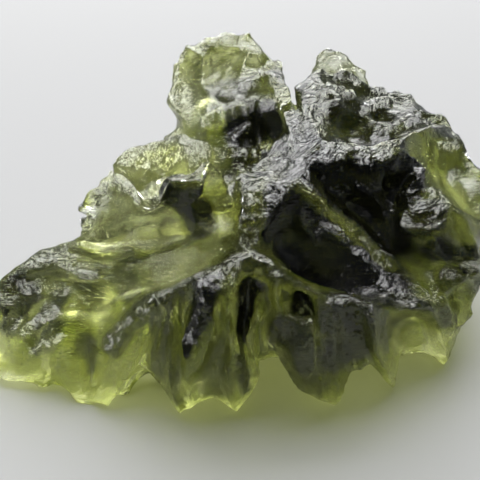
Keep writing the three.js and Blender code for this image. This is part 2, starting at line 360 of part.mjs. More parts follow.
// the floor of the deep pit between the lobes
const PIT_FLOOR = {
  splitOver: 4.2,
  heart: [1.4, 5.6, 8.0],
  ridges: {
    rim: [[-3.4, 2.6, 11.4], [0.6, 1.2, 12.0], [4.8, 2.8, 12.4], [6.0, 6.8, 12.6],
      [2.4, 9.8, 12.4], [-2.6, 8.8, 11.6], [-3.4, 2.6, 11.4]],
    foot: [[-4.0, 2.4, 4.8], [1.0, 0.8, 4.2], [6.2, 3.0, 4.4], [7.2, 8.0, 4.8],
      [2.0, 11.4, 4.6], [-3.8, 9.4, 5.0], [-4.0, 2.4, 4.8]],
  },
  hollows: [[1.2, 5.4, 10.6], [1.4, 5.8, 5.4]],
};

const LUMPS = [FRONT, FIN, MIDDLE, LEFT_LOBE, BACK_LOBE, BACK_RIGHT, FAR_LOBE, PIT_FLOOR];

// ---- small helpers ------------------------------------------------------------------

// a steady pseudo-random number from 0 to 1 for the n-th tooth
function chance(n) {
  const s = Math.sin(n * 12.9898 + 4.1414) * 43758.5453;
  return s - Math.floor(s);
}

function vector(p) {
  return new THREE.Vector3(p[0], p[1], p[2]);
}

// the points of one ridge, with a small notch towards the heart between its teeth
function ridgePoints(corners, heart, seed) {
  const out = [];
  for (let i = 0; i + 1 < corners.length; i += 1) {
    const a = vector(corners[i]);
    const b = vector(corners[i + 1]);
    const steps = Math.max(1, Math.round(a.distanceTo(b) / RIDGE_STEP));
    for (let k = 0; k < steps; k += 1) {
      const p = a.clone().lerp(b, k / steps);
      if (k > 0) {
        const dip = NOTCH_DEPTH * chance(seed + i * 7 + k);
        p.add(heart.clone().sub(p).normalize().multiplyScalar(dip));
      }
      out.push(p);
    }
  }
  out.push(vector(corners[corners.length - 1]));
  return out;
}

// the points along the bottom of a gully
function gullyPoints(corners) {
  const out = [vector(corners[0])];
  for (let i = 0; i + 1 < corners.length; i += 1) {
    const a = vector(corners[i]);
    const b = vector(corners[i + 1]);
    const steps = Math.max(1, Math.round(a.distanceTo(b) / GULLY_STEP));
    for (let k = 1; k <= steps; k += 1) {
      out.push(a.clone().lerp(b, k / steps));
    }
  }
  return out;
}

// a closed body from its corners and its facets
function solidFrom(vertices, tris, wasm) {
  return new wasm.Manifold(new wasm.Mesh({
    numProp: 3,
    vertProperties: new Float32Array(vertices),
    triVerts: new Uint32Array(tris),
  }));
}

// a closed body from a three.js shape, with the corners its faces share made one
function solidFromShape(shape, wasm) {
  const position = shape.getAttribute('position');
  return solidFrom(position.array, shape.getIndex().array, wasm);
}

function weldedShape(shape) {
  shape.deleteAttribute('normal');
  shape.deleteAttribute('uv');
  return mergeVertices(shape, SAME_CORNER);
}

// ---- a lump from its ridges ---------------------------------------------------------

const SAME_POINT = 0.35;       // ridge points closer than this are one point
const SETTLE_ROUNDS = 2;       // rounds of evening out the hollow faces
const SETTLE_SHARE = 0.4;      // how far a point settles in one round
const UNFOLD_ROUNDS = 8;       // how often a folded facet is eased
const LEAST_OPEN = 0.3;        // six times the volume a facet must hold against the heart

function addPoint(points, p, ridge) {
  for (let i = 0; i < points.length; i += 1) {
    if (points[i].p.distanceTo(p) < SAME_POINT) {
      points[i].ridges.add(ridge);
      return i;
    }
  }
  points.push({ p: p, ridges: new Set([ridge]), pressed: false });
  return points.length - 1;
}

// half sizes of the lump, used to look at its points as if it were a ball
function halfSizes(points, heart) {
  const size = new THREE.Vector3(1, 1, 1);
  for (const q of points) {
    size.x = Math.max(size.x, Math.abs(q.p.x - heart.x));
    size.y = Math.max(size.y, Math.abs(q.p.y - heart.y));
    size.z = Math.max(size.z, Math.abs(q.p.z - heart.z));
  }
  return size;
}

// facets round the heart: the hull of the points' directions
function facetsRound(points, heart) {
  const size = halfSizes(points, heart);
  const directions = points.map((q) => q.p.clone().sub(heart).divide(size).normalize());
  const index = new Map();
  directions.forEach((d, i) => index.set(d, i));
  const hull = new ConvexHull().setFromPoints(directions);
  const facets = [];
  for (const face of hull.faces) {
    const a = index.get(face.getEdge(0).head().point);
    const b = index.get(face.getEdge(1).head().point);
    const c = index.get(face.getEdge(2).head().point);
    facets.push([a, b, c]);
  }
  return facets;
}

function edgeKey(a, b) {
  return a < b ? `${a},${b}` : `${b},${a}`;
}

function onOneRidge(a, b) {
  for (const ridge of a.ridges) {
    if (b.ridges.has(ridge)) {
      return true;
    }
  }
  return false;
}

function facetNormal(points, f) {
  const ab = points[f[1]].p.clone().sub(points[f[0]].p);
  const ac = points[f[2]].p.clone().sub(points[f[0]].p);
  return ab.cross(ac);
}

// splits the long facet edges and presses the new points in, so a facet becomes hollow
function splitAndPress(points, facets, splitOver) {
  const edges = new Map();
  for (const f of facets) {
    const n = facetNormal(points, f);
    for (let k = 0; k < 3; k += 1) {
      const key = edgeKey(f[k], f[(k + 1) % 3]);
      if (!edges.has(key)) {
        edges.set(key, { a: f[k], b: f[(k + 1) % 3], n: new THREE.Vector3() });
      }
      edges.get(key).n.add(n);
    }
  }
  const middle = new Map();
  for (const [key, edge] of edges) {
    const a = points[edge.a];
    const b = points[edge.b];
    const length = a.p.distanceTo(b.p);
    if (length <= splitOver) {
      continue;
    }
    const p = a.p.clone().lerp(b.p, 0.5);
    const flat = p.clone();
    const onRidge = onOneRidge(a, b);
    if (!onRidge) {
      const share = a.pressed || b.pressed ? FACE_DEPTH : SCOOP_DEPTH;
      const press = Math.min(DEEPEST_PRESS, share * length);
      p.add(edge.n.normalize().multiplyScalar(-press));
    }
    const ridges = new Set(onRidge ? [...a.ridges].filter((r) => b.ridges.has(r)) : []);
    middle.set(key, points.length);
    points.push({ p: p, ridges: ridges, pressed: !onRidge, flat: flat });
  }
  const out = [];
  for (const f of facets) {
    out.push(...splitFacet(f, middle));
  }
  return out;
}

// evens out the hollow faces: split points settle towards the middle of their neighbours
function settle(points, facets) {
  const near = points.map(() => new Set());
  for (const f of facets) {
    for (let k = 0; k < 3; k += 1) {
      near[f[k]].add(f[(k + 1) % 3]);
      near[f[(k + 1) % 3]].add(f[k]);
    }
  }
  for (let round = 0; round < SETTLE_ROUNDS; round += 1) {
    const targets = points.map((q, i) => {
      if (!q.flat || q.ridges.size > 0) {
        return null;
      }
      const sum = new THREE.Vector3();
      near[i].forEach((j) => sum.add(points[j].p));
      return sum.divideScalar(near[i].size);
    });
    targets.forEach((target, i) => {
      if (target) {
        points[i].p.lerp(target, SETTLE_SHARE);
      }
    });
  }
}

// lets pressed points back out wherever a facet has folded over, seen from the heart
function unfold(points, facets, heart) {
  const arm = [new THREE.Vector3(), new THREE.Vector3(), new THREE.Vector3()];
  for (let round = 0; round < UNFOLD_ROUNDS; round += 1) {
    const eased = new Set();
    for (const f of facets) {
      f.forEach((i, k) => arm[k].copy(points[i].p).sub(heart));
      const open = arm[0].dot(arm[1].cross(arm[2]));
      if (open < LEAST_OPEN) {
        f.forEach((i) => eased.add(i));
      }
    }
    for (const i of eased) {
      if (points[i].flat) {
        points[i].p.lerp(points[i].flat, 0.5);
      }
    }
  }
}

// one facet with new points on none, one, two or all three of its edges
function splitFacet(f, middle) {
  const mid = [0, 1, 2].map((k) => middle.get(edgeKey(f[k], f[(k + 1) % 3])));
  const cut = mid.filter((m) => m !== undefined).length;
  if (cut === 0) {
    return [f];
  }
  if (cut === 3) {
    return [
      [f[0], mid[0], mid[2]],
      [mid[0], f[1], mid[1]],
      [mid[2], mid[1], f[2]],
      [mid[0], mid[1], mid[2]],
    ];
  }
  // turn the facet so its first edge is cut, and with two cuts the last one is not
  let k = 0;
  while (mid[k] === undefined || (cut === 2 && mid[(k + 2) % 3] !== undefined)) {
    k += 1;
  }
  const a = f[k];
  const b = f[(k + 1) % 3];
  const c = f[(k + 2) % 3];
  const ab = mid[k];
  if (cut === 1) {
    return [[a, ab, c], [ab, b, c]];
  }
  const bc = mid[(k + 1) % 3];
  return [[a, ab, c], [ab, b, bc], [ab, bc, c]];
}

function lumpSolid(lump, seed, wasm) {
  const heart = vector(lump.heart);
  const points = [];
  Object.entries(lump.ridges).forEach(([name, corners], i) => {
    for (const p of ridgePoints(corners, heart, seed + i * 31)) {
      addPoint(points, p, name);
    }
  });
  for (const corners of Object.values(lump.gullies || {})) {
    for (const p of gullyPoints(corners)) {
      points.push({ p: p, ridges: new Set(), pressed: true });
    }
  }
  for (const p of lump.hollows) {
    points.push({ p: vector(p), ridges: new Set(), pressed: true });
  }
  let facets = facetsRound(points, heart);
  for (let pass = 0; pass < PASSES; pass += 1) {
    facets = splitAndPress(points, facets, lump.splitOver || SPLIT_OVER);
    settle(points, facets);
    unfold(points, facets, heart);
  }
  const vertices = points.flatMap((q) => [q.p.x, q.p.y, q.p.z]);
  return solidFrom(vertices, facets.flat(), wasm);
}

// ---- the fringe ---------------------------------------------------------------------

// the point at a given share of the way down one fold of the fringe
function foldPoint(corners, share) {
  const steps = corners.slice(1).map((c, i) => vector(c).distanceTo(vector(corners[i])));
  let way = share * steps.reduce((sum, d) => sum + d, 0);
  for (let i = 0; i < steps.length; i += 1) {
    if (way <= steps[i] || i === steps.length - 1) {
      return vector(corners[i]).lerp(vector(corners[i + 1]), Math.min(1, way / steps[i]));
    }
    way -= steps[i];
  }
  return vector(corners[corners.length - 1]);
}

// a point on a line of corners, at a share of its length counted in corners
function alongCorners(corners, share) {
  const way = share * (corners.length - 1);
  const i = Math.min(corners.length - 2, Math.floor(way));
  return vector(corners[i]).lerp(vector(corners[i + 1]), way - i);
}

// the folds of the skirt: ribs and gullies in turn, none quite like the last
function skirtFolds() {
  const folds = [];
  const count = (SKIRT_TOP.length - 1) * SKIRT_FOLDS;
  for (let i = 0; i <= count; i += 1) {
    const top = alongCorners(SKIRT_TOP, i / count);
    const foot = alongCorners(SKIRT_FOOT, i / count);
    const out = new THREE.Vector3(foot.x - SKIRT_MIDDLE[0], foot.y - SKIRT_MIDDLE[1], 0);
    out.normalize();
    const rib = i % 2 === 0;
    const reach = rib ? SKIRT_SWELL : -SKIRT_SINK;
    const fold = [top.clone().addScaledVector(out, reach * SKIRT_TOP_SHARE)];
    for (const share of SKIRT_WAIST) {
      const wander = SKIRT_WANDER * (chance(i * 3 + share) - 0.5);
      const swell = SKIRT_LEAST + SKIRT_MORE * chance(i + 40 * share);
      const p = top.clone().lerp(foot, share + wander);
      fold.push(p.addScaledVector(out, reach * swell));
    }
    const end = foot.clone().addScaledVector(out, reach * SKIRT_FOOT_SHARE);
    end.z += rib ? 0 : SKIRT_HEM * chance(i + 9);
    fold.push(end);
    folds.push(fold.map((p) => [p.x, p.y, p.z]));
  }
  return folds.reverse();
}

// the skirt: its folds outside, and inside the same folds drawn in towards the middle
function skirtSolid(wasm) {
  const folds = skirtFolds();
  const middle = vector(SKIRT_MIDDLE);
  const hidden = (p) => p.lerp(middle, SKIRT_DRAWN_IN);
  return clothSolid(folds, SKIRT_ROWS, hidden, wasm);
}

// the fringe: its folds in front, and behind them a plainer hidden side
function curtainSolid(wasm) {
  const hidden = (p, share, fold) => {
    p.y += CURTAIN_DEPTH;
    p.z += share * CURTAIN_LIFT - (1 - share) * CURTAIN_TUCK;
    p.z = Math.min(p.z, fold[0][2] - CURTAIN_LEAST_TUCK);
    return p;
  };
  const raised = CURTAIN.map((fold) => {
    const [x, y, z] = fold[0];
    return [[x, y, z + CURTAIN_RISE], ...fold.slice(1)];
  });
  return clothSolid(raised, CURTAIN_ROWS, hidden, wasm);
}

// a closed body between the folds and their hidden side
function clothSolid(folds, rows, hidden, wasm) {
  const vertices = [];
  const across = folds.length;
  const down = rows + 1;
  for (const side of [0, 1]) {
    for (const fold of folds) {
      for (let j = 0; j < down; j += 1) {
        const share = j / rows;
        const p = foldPoint(fold, share);
        const q = side === 0 ? p : hidden(p, share, fold);
        vertices.push(q.x, q.y, q.z);
      }
    }
  }
  const at = (side, i, j) => (side * across + i) * down + j;
  const tris = [];
  const quad = (a, b, c, d) => tris.push(a, b, c, a, c, d);
  for (let i = 0; i + 1 < across; i += 1) {
    for (let j = 0; j + 1 < down; j += 1) {
      quad(at(0, i, j), at(0, i, j + 1), at(0, i + 1, j + 1), at(0, i + 1, j));
      quad(at(1, i, j), at(1, i + 1, j), at(1, i + 1, j + 1), at(1, i, j + 1));
    }
    quad(at(0, i, 0), at(0, i + 1, 0), at(1, i + 1, 0), at(1, i, 0));
    quad(at(0, i, rows), at(1, i, rows), at(1, i + 1, rows), at(0, i + 1, rows));
  }
  const last = across - 1;
  for (let j = 0; j + 1 < down; j += 1) {
    quad(at(0, 0, j), at(1, 0, j), at(1, 0, j + 1), at(0, 0, j + 1));
    quad(at(0, last, j), at(0, last, j + 1), at(1, last, j + 1), at(1, last, j));
  }
  return solidFrom(vertices, tris, wasm);
}

// ---- hollows of the underside -------------------------------------------------------
// each is a rough blunt cone pushed up into the stone: middle, radii and height

const UNDER_HOLLOWS = [
  { x: -19.8, y: -8.0, rx: 2.6, ry: 2.4, top: 5.0 },
  { x: -15.0, y: -8.6, rx: 3.8, ry: 3.0, top: 6.6 },
  { x: -8.6, y: -8.2, rx: 5.2, ry: 3.2, top: 8.6 },
  { x: -1.4, y: -7.6, rx: 4.4, ry: 3.4, top: 9.2 },
  { x: 7.2, y: -8.0, rx: 4.8, ry: 3.8, top: 5.4 },
  { x: 15.6, y: -4.6, rx: 4.6, ry: 2.8, top: 5.8 },
  { x: -15.6, y: -1.6, rx: 2.6, ry: 2.6, top: 5.0 },
  { x: -8.4, y: 3.8, rx: 4.2, ry: 3.8, top: 13.4 },
  { x: 0.6, y: 1.0, rx: 4.0, ry: 3.6, top: 6.6 },
  { x: 10.4, y: 2.2, rx: 5.2, ry: 4.0, top: 4.8 },
  { x: 19.4, y: 3.4, rx: 3.4, ry: 4.2, top: 11.0 },
  { x: -2.8, y: 16.8, rx: 5.4, ry: 5.6, top: 15.4 },
  { x: 8.6, y: 14.6, rx: 3.0, ry: 4.2, top: 7.6 },
  { x: 15.8, y: 12.2, rx: 4.0, ry: 4.2, top: 11.4 },
  { x: 12.8, y: 24.0, rx: 3.6, ry: 3.2, top: 13.0 },
];
const HOLLOW_SIDES = 9;        // corners round an under hollow
const HOLLOW_BELOW = 3;        // how far its cutter reaches below the ground
const HOLLOW_ROUGHNESS = 0.42; // unevenness of its rings, as a share of their radius
const HOLLOW_RINGS = [         // radius and height of its rings, as shares of the whole
  { radius: 1.0, height: 0 },
  { radius: 0.82, height: 0.55 },
  { radius: 0.45, height: 0.9 },
];
const HOLLOW_MOUTH = 1.18;     // its radius below the ground, as a share

function underHollow(h, seed, wasm) {
  const rings = HOLLOW_RINGS.map((ring) => ({ share: ring.radius, z: h.top * ring.height }));
  rings.unshift({ share: HOLLOW_MOUTH, z: -HOLLOW_BELOW });
  const vertices = [];
  rings.forEach((ring, r) => {
    for (let i = 0; i < HOLLOW_SIDES; i += 1) {
      const turn = (2 * Math.PI * i) / HOLLOW_SIDES;
      const rough = 1 + HOLLOW_ROUGHNESS * (chance(seed + r * 5 + i) - 0.5);
      vertices.push(h.x + Math.cos(turn) * h.rx * ring.share * rough);
      vertices.push(h.y + Math.sin(turn) * h.ry * ring.share * rough);
      vertices.push(ring.z);
    }
  });
  const low = vertices.length / 3;
  vertices.push(h.x, h.y, -HOLLOW_BELOW);
  const high = low + 1;
  vertices.push(h.x, h.y, h.top);
  const tris = [];
  for (let i = 0; i < HOLLOW_SIDES; i += 1) {
    const j = (i + 1) % HOLLOW_SIDES;
    tris.push(low, j, i);
    for (let r = 0; r + 1 < rings.length; r += 1) {
      const a = r * HOLLOW_SIDES;
      const b = a + HOLLOW_SIDES;
      tris.push(a + i, a + j, b + j);
      tris.push(a + i, b + j, b + i);
    }
    const last = (rings.length - 1) * HOLLOW_SIDES;
    tris.push(last + i, last + j, high);
  }
  return solidFrom(vertices, tris, wasm);
}

// ---- scoops eaten into the upper side and the flanks --------------------------------

const SCOOPS = [
  { at: [1.8, 8.6, 16.4], radii: [3.5, 2.5, 3.4] },
  { at: [0.6, 12.9, 18.6], radii: [2.8, 1.0, 1.5] },
  { at: [20.6, 1.8, 17.0], radii: [4.0, 4.2, 4.0] },
  { at: [11.5, 4.2, 19.8], radii: [2.4, 3.2, 2.2] },
  { at: [16.4, 9.8, 19.2], radii: [2.2, 3.0, 2.0] },
  { at: [-0.9, -6.0, 16.6], radii: [1.7, 1.9, 3.0] },
  { at: [12.9, -4.2, 17.2], radii: [1.5, 1.3, 2.2] },
  { at: [16.8, -8.6, 12.4], radii: [2.6, 1.9, 2.2] },
  { at: [20.8, -8.8, 8.6], radii: [1.7, 1.5, 1.9] },
  { at: [-2.0, 18.6, 21.6], radii: [2.6, 2.4, 2.2] },
  { at: [-6.6, 18.4, 19.6], radii: [1.8, 2.6, 2.6] },
  { at: [-9.4, -6.2, 14.8], radii: [3.0, 2.0, 2.6] },
  { at: [-22.6, -3.6, 7.6], radii: [3.0, 1.8, 2.4] },
];
const SCOOP_DETAIL = 1;        // how finely a scoop is faceted
const SCOOP_ROUGHNESS = 0.16;  // unevenness of a scoop, as a share of its radius

function scoopSolid(scoop, seed, wasm) {
  const shell = weldedShape(new THREE.IcosahedronGeometry(1, SCOOP_DETAIL));
  const position = shell.getAttribute('position');
  const p = new THREE.Vector3();
  for (let i = 0; i < position.count; i += 1) {
    p.fromBufferAttribute(position, i);
    p.multiplyScalar(1 + SCOOP_ROUGHNESS * (chance(seed + i) - 0.5));
    p.multiply(vector(scoop.radii)).add(vector(scoop.at));
    position.setXYZ(i, p.x, p.y, p.z);
  }
  return solidFromShape(shell, wasm);
}

// a big block under the ground, used to grind the tips flat
function blockBelow(wasm) {
  const box = new THREE.BoxGeometry(2 * BLOCK, 2 * BLOCK, 2 * BLOCK);
  box.translate(0, 0, GROUND - BLOCK);
  return solidFromShape(weldedShape(box), wasm);
}

// the outer skin alone: the gaps shut in between the lumps are solid glass
function outerSkin(mesh) {
  const stride = mesh.numProp;
  const count = mesh.vertProperties.length / stride;
  const parent = Array.from({ length: count }, (_, i) => i);
  const find = (i) => {
    let root = i;
    while (parent[root] !== root) {
      root = parent[root];
    }
    parent[i] = root;
    return root;
  };
  for (let i = 0; i < mesh.triVerts.length; i += 3) {
    parent[find(mesh.triVerts[i + 1])] = find(mesh.triVerts[i]);
    parent[find(mesh.triVerts[i + 2])] = find(mesh.triVerts[i]);
  }
  const size = new Map();
  for (let i = 0; i < mesh.triVerts.length; i += 3) {
    const root = find(mesh.triVerts[i]);
    size.set(root, (size.get(root) || 0) + 1);
  }
  const largest = [...size.entries()].sort((p, q) => q[1] - p[1])[0][0];
  const facets = [];
  for (let i = 0; i < mesh.triVerts.length; i += 3) {
    if (find(mesh.triVerts[i]) === largest) {
      facets.push(mesh.triVerts[i], mesh.triVerts[i + 1], mesh.triVerts[i + 2]);
    }
  }
  const coordinates = new Float32Array(count * 3);
  for (let i = 0; i < count; i += 1) {
    for (let k = 0; k < 3; k += 1) {
      coordinates[3 * i + k] = mesh.vertProperties[stride * i + k];
    }
  }
  return { coordinates, facets: new Uint32Array(facets) };
}

// ---- clearing the crumbs ------------------------------------------------------------
// Where two lumps meet, the join leaves crumbs: facets far smaller than any tooth.
// Every edge shorter than a crumb is closed up, as long as no facet turns over.

const CRUMB = 0.6;             // edges shorter than this are closed up
const LEAST_TURN = 0.35;       // cosine of the most a facet may turn while this is done
const CRUMB_ROUNDS = 6;        // the limit grows to its full length over these rounds
const THINNEST = 0.02;         // a facet's least height over its longest edge
const ON_GROUND = 1e-4;        // a corner this near the ground plane lies on it
const NOTHING = 1e-12;         // keeps a share from being divided by zero

function facetAt(points, f) {
  const ab = points[f[1]].clone().sub(points[f[0]]);
  const ac = points[f[2]].clone().sub(points[f[0]]);
  return ab.cross(ac);
}

// the corners that share a facet edge with corner i
function neighbours(i, facets, around) {
  const out = new Set();
  for (const k of around[i]) {
    facets[k].forEach((j) => out.add(j));
  }
  out.delete(i);
  return out;
}

// whether corner i can move to a place without turning or flattening its facets
function canMove(i, place, other, points, facets, around) {
  for (const k of around[i]) {
    const f = facets[k];
    if (f.includes(other)) {
      continue;
    }
    const before = facetAt(points, f);
    const moved = f.map((j) => (j === i ? place : points[j]));
    const after = moved[1].clone().sub(moved[0]).cross(moved[2].clone().sub(moved[0]));
    const turn = before.dot(after) / (before.length() * after.length() + NOTHING);
    const longest = Math.max(
      moved[0].distanceTo(moved[1]),
      moved[1].distanceTo(moved[2]),
      moved[2].distanceTo(moved[0]),
    );
    const thin = after.length() < THINNEST * longest;
    const wasThin = before.length() < THINNEST * longest;
    if (!wasThin && turn < LEAST_TURN) {
      return false;
    }
    if (thin && !wasThin) {
      return false;
    }
  }
  return true;
}

// closes one edge up; returns whether it could
function closeEdge(a, b, points, facets, around) {
  const shared = [...neighbours(a, facets, around)].filter((j) => {
    return neighbours(b, facets, around).has(j);
  });
  if (shared.length !== 2) {
    return false;
  }
  const grounded = (i) => Math.abs(points[i].z - GROUND) < ON_GROUND;
  const place = points[a].clone().lerp(points[b], 0.5);
  if (grounded(a) !== grounded(b)) {
    place.copy(grounded(a) ? points[a] : points[b]);
  }
  const free = canMove(a, place, b, points, facets, around)
    && canMove(b, place, a, points, facets, around);
  if (!free) {
    return false;
  }
  points[a].copy(place);
  for (const k of [...around[b]]) {
    if (facets[k].includes(a)) {
      facets[k].forEach((j) => around[j].delete(k));
      facets[k] = null;
    } else {
      facets[k] = facets[k].map((j) => (j === b ? a : j));
      around[a].add(k);
    }
  }
  around[b].clear();
  return true;
}

function clearCrumbs(skin) {
  const points = [];
  for (let i = 0; i < skin.coordinates.length; i += 3) {
    points.push(new THREE.Vector3().fromArray(skin.coordinates, i));
  }
  const facets = [];
  for (let i = 0; i < skin.facets.length; i += 3) {
    facets.push([skin.facets[i], skin.facets[i + 1], skin.facets[i + 2]]);
  }
  const around = points.map(() => new Set());
  facets.forEach((f, k) => f.forEach((i) => around[i].add(k)));
  for (let round = 0; round < CRUMB_ROUNDS; round += 1) {
    const limit = CRUMB * (round + 1) / CRUMB_ROUNDS;
    const edges = new Map();
    for (const f of facets.filter((g) => g !== null)) {
      for (let k = 0; k < 3; k += 1) {
        const [a, b] = [f[k], f[(k + 1) % 3]];
        const length = points[a].distanceTo(points[b]);
        if (length < limit) {
          edges.set(edgeKey(a, b), { a: a, b: b, length: length });
        }
      }
    }
    const ordered = [...edges.values()].sort((p, q) => p.length - q.length);
    for (const edge of ordered) {
      const joined = [...around[edge.a]].some((k) => facets[k].includes(edge.b));
      if (joined) {
        closeEdge(edge.a, edge.b, points, facets, around);
      }
    }
  }
  const number = new Map();
  const coordinates = [];
  const kept = [];
  for (const f of facets.filter((g) => g !== null)) {
    for (const i of f) {
      if (!number.has(i)) {
        number.set(i, coordinates.length / 3);
        coordinates.push(points[i].x, points[i].y, points[i].z);
      }
      kept.push(number.get(i));
    }
  }
  return { coordinates: new Float32Array(coordinates), facets: new Uint32Array(kept) };
}

// ---- the stone ----------------------------------------------------------------------

const wasm = await Module();
wasm.setup();

let solid = null;
LUMPS.forEach((lump, i) => {
  const piece = lumpSolid(lump, 100 * i, wasm);
  solid = solid === null ? piece : solid.add(piece);
});
solid = solid.add(curtainSolid(wasm));
solid = solid.add(skirtSolid(wasm));
UNDER_HOLLOWS.forEach((h, i) => {
  solid = solid.subtract(underHollow(h, 17 * i, wasm));
});
SCOOPS.forEach((scoop, i) => {
  solid = solid.subtract(scoopSolid(scoop, 53 * i, wasm));
});
solid = solid.subtract(blockBelow(wasm));

const geometry = new THREE.BufferGeometry();
const skin = clearCrumbs(outerSkin(solid.getMesh()));
geometry.setAttribute('position', new THREE.BufferAttribute(skin.coordinates, 3));
geometry.setIndex(new THREE.BufferAttribute(skin.facets, 1));

// the middle of the stone's box, on the ground, is the part's own zero point
geometry.computeBoundingBox();
const middle = geometry.boundingBox.getCenter(new THREE.Vector3());
geometry.translate(-middle.x, -middle.y, -geometry.boundingBox.min.z);
geometry.computeVertexNormals();

const material = new THREE.MeshStandardMaterial({
  color: BODY_COLOUR,
  roughness: BODY_ROUGHNESS,
  metalness: 0,
});
material.name = 'moldavite_glass';
const stone = new THREE.Mesh(geometry, material);
stone.name = 'stone';

const group = new THREE.Group();
group.name = 'moldavite';
group.add(stone);
export default group;
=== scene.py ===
# %% [markdown]
# # A moldavite of the hedgehog kind
#
# A moldavite is natural glass. It flew as a splash of molten rock, set in the air, and
# then lay in gravel for millions of years while acids in the ground ate it away. The
# acids leave smooth scoops with thin sharp ridges between them, ribs that hang like a
# curtain, and, on every face, fine pits and wrinkles. The glass is bottle green: pale
# where it is thin, nearly black where it is thick.
#
# The stone is one piece, so one mesh is made here. It starts as a copy of the faceted
# solid, and the work is to give that copy the surface that etching gives the glass. Then
# come the glass itself, whose colour follows its thickness, and a window to light it.

# %% Load the frame
import math

import bmesh
import bpy
import numpy as np
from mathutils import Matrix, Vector, noise
from mathutils.bvhtree import BVHTree


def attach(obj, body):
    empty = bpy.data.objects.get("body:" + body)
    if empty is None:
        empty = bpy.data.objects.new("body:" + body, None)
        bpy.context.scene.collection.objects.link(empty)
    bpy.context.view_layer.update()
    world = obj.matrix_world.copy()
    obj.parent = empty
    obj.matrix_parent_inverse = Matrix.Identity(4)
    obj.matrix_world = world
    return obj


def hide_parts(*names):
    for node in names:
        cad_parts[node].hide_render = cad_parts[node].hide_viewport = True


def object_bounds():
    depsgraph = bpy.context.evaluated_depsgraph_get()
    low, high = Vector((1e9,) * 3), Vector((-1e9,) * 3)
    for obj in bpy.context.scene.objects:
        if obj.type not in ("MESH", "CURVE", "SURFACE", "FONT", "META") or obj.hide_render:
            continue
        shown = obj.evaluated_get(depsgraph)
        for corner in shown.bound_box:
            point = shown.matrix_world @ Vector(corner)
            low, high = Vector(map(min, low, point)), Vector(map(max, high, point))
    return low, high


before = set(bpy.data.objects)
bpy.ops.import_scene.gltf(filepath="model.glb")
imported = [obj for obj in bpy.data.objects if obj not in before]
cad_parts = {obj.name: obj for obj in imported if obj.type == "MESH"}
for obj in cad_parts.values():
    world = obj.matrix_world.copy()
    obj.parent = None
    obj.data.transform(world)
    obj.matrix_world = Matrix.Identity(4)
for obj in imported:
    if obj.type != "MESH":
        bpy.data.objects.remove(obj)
cad_low, cad_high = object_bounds()
MM = 0.001
print("solid box, mm:", [round(v / MM, 2) for v in (*cad_low, *cad_high)])

# %% [markdown]
# ## The camera
#
# The stone is looked at from the front, from well above the table and from near by, with
# a lens a little longer than normal. The camera comes first, because every later choice
# is judged through it, and because the carver's strokes further down are drawn in its
# view. Its place is worked out from what it aims at, how far it looks down and how far
# away it is, so that each of the three can be changed alone.

# %% Camera
CAMERA_AIM_MM = (-0.397, -7.212, 8.0)
CAMERA_DOWN = math.radians(37)
CAMERA_AWAY_MM = 56.0
LENS_MM = 42.0
SENSOR_MM = 36.0

away = Vector((0, -math.cos(CAMERA_DOWN), math.sin(CAMERA_DOWN))) * CAMERA_AWAY_MM
camera_place = Vector([round(v, 3) for v in Vector(CAMERA_AIM_MM) + away]) * MM
camera_aim = Vector(CAMERA_AIM_MM) * MM

camera_data = bpy.data.cameras.new("camera")
camera_data.lens = LENS_MM
camera_data.sensor_width = SENSOR_MM
camera_data.clip_start = 1 * MM
camera = bpy.data.objects.new("camera", camera_data)
camera.location = camera_place
camera.rotation_euler = (camera_aim - camera_place).to_track_quat("-Z", "Y").to_euler()
bpy.context.scene.collection.objects.link(camera)
bpy.context.scene.camera = camera
print("camera is at, mm:", [round(v / MM, 3) for v in camera_place])

# %% [markdown]
# ## The stone's body
#
# The faceted solid has the ridges, scoops and ribs in the right places, but its faces
# are flat triangles. A voxel remesh would give even faces, and would also melt the thin
# ribs. So the copy is cut finer where it stands, and the corners that aren't on a sharp
# ridge are eased towards their neighbours: hollows turn smooth, ridges stay sharp.

# %% Copy the solid and weld its corners
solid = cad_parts["stone"]
body = bmesh.new()
body.from_mesh(solid.data)
bmesh.ops.remove_doubles(body, verts=body.verts, dist=0.001 * MM)
print("welded copy:", len(body.verts), "corners,", len(body.faces), "facets")

# %% Find the sharp ridges
RIDGE_ANGLE = math.radians(42)     # a fold sharper than this, standing out, is a ridge


def ridge_edges(mesh):
    """The edges where two facets meet in a sharp outward fold."""
    return [e for e in mesh.edges
            if len(e.link_faces) == 2 and e.calc_face_angle_signed(0) > RIDGE_ANGLE]


body.normal_update()
ridge_mark = body.edges.layers.int.new("ridge")
for edge in ridge_edges(body):
    edge[ridge_mark] = 1
print("ridge edges:", sum(e[ridge_mark] for e in body.edges), "of", len(body.edges))

# %% Cut the facets finer and ease the hollows
EASE_SHARE = 0.5                   # how far a corner moves to its neighbours' middle
RIDGE_EASE = 0.12                  # the same for corners on a ridge


def ridge_corners(mesh):
    """The corners that lie on a marked ridge."""
    return {v for e in mesh.edges if e[ridge_mark] for v in e.verts}


def ease(mesh, corners, share):
    """Moves corners towards the middle of their neighbours."""
    bmesh.ops.smooth_vert(mesh, verts=corners, factor=share,
                          use_axis_x=True, use_axis_y=True, use_axis_z=True)


def cut_finer(mesh, cut_over, rounds):
    """Cuts the edges longer than a length, then eases what isn't a ridge."""
    long_edges = [e for e in mesh.edges if e.calc_length() > cut_over]
    bmesh.ops.subdivide_edges(mesh, edges=long_edges, cuts=1, use_grid_fill=True)
    bmesh.ops.triangulate(mesh, faces=mesh.faces[:])
    kept = ridge_corners(mesh)
    free = [v for v in mesh.verts if v not in kept]
    for _ in range(rounds):
        ease(mesh, free, EASE_SHARE)
    if rounds:
        ease(mesh, list(kept), RIDGE_EASE)
    print("cut to", round(cut_over / MM, 2), "mm:", len(mesh.faces), "facets")


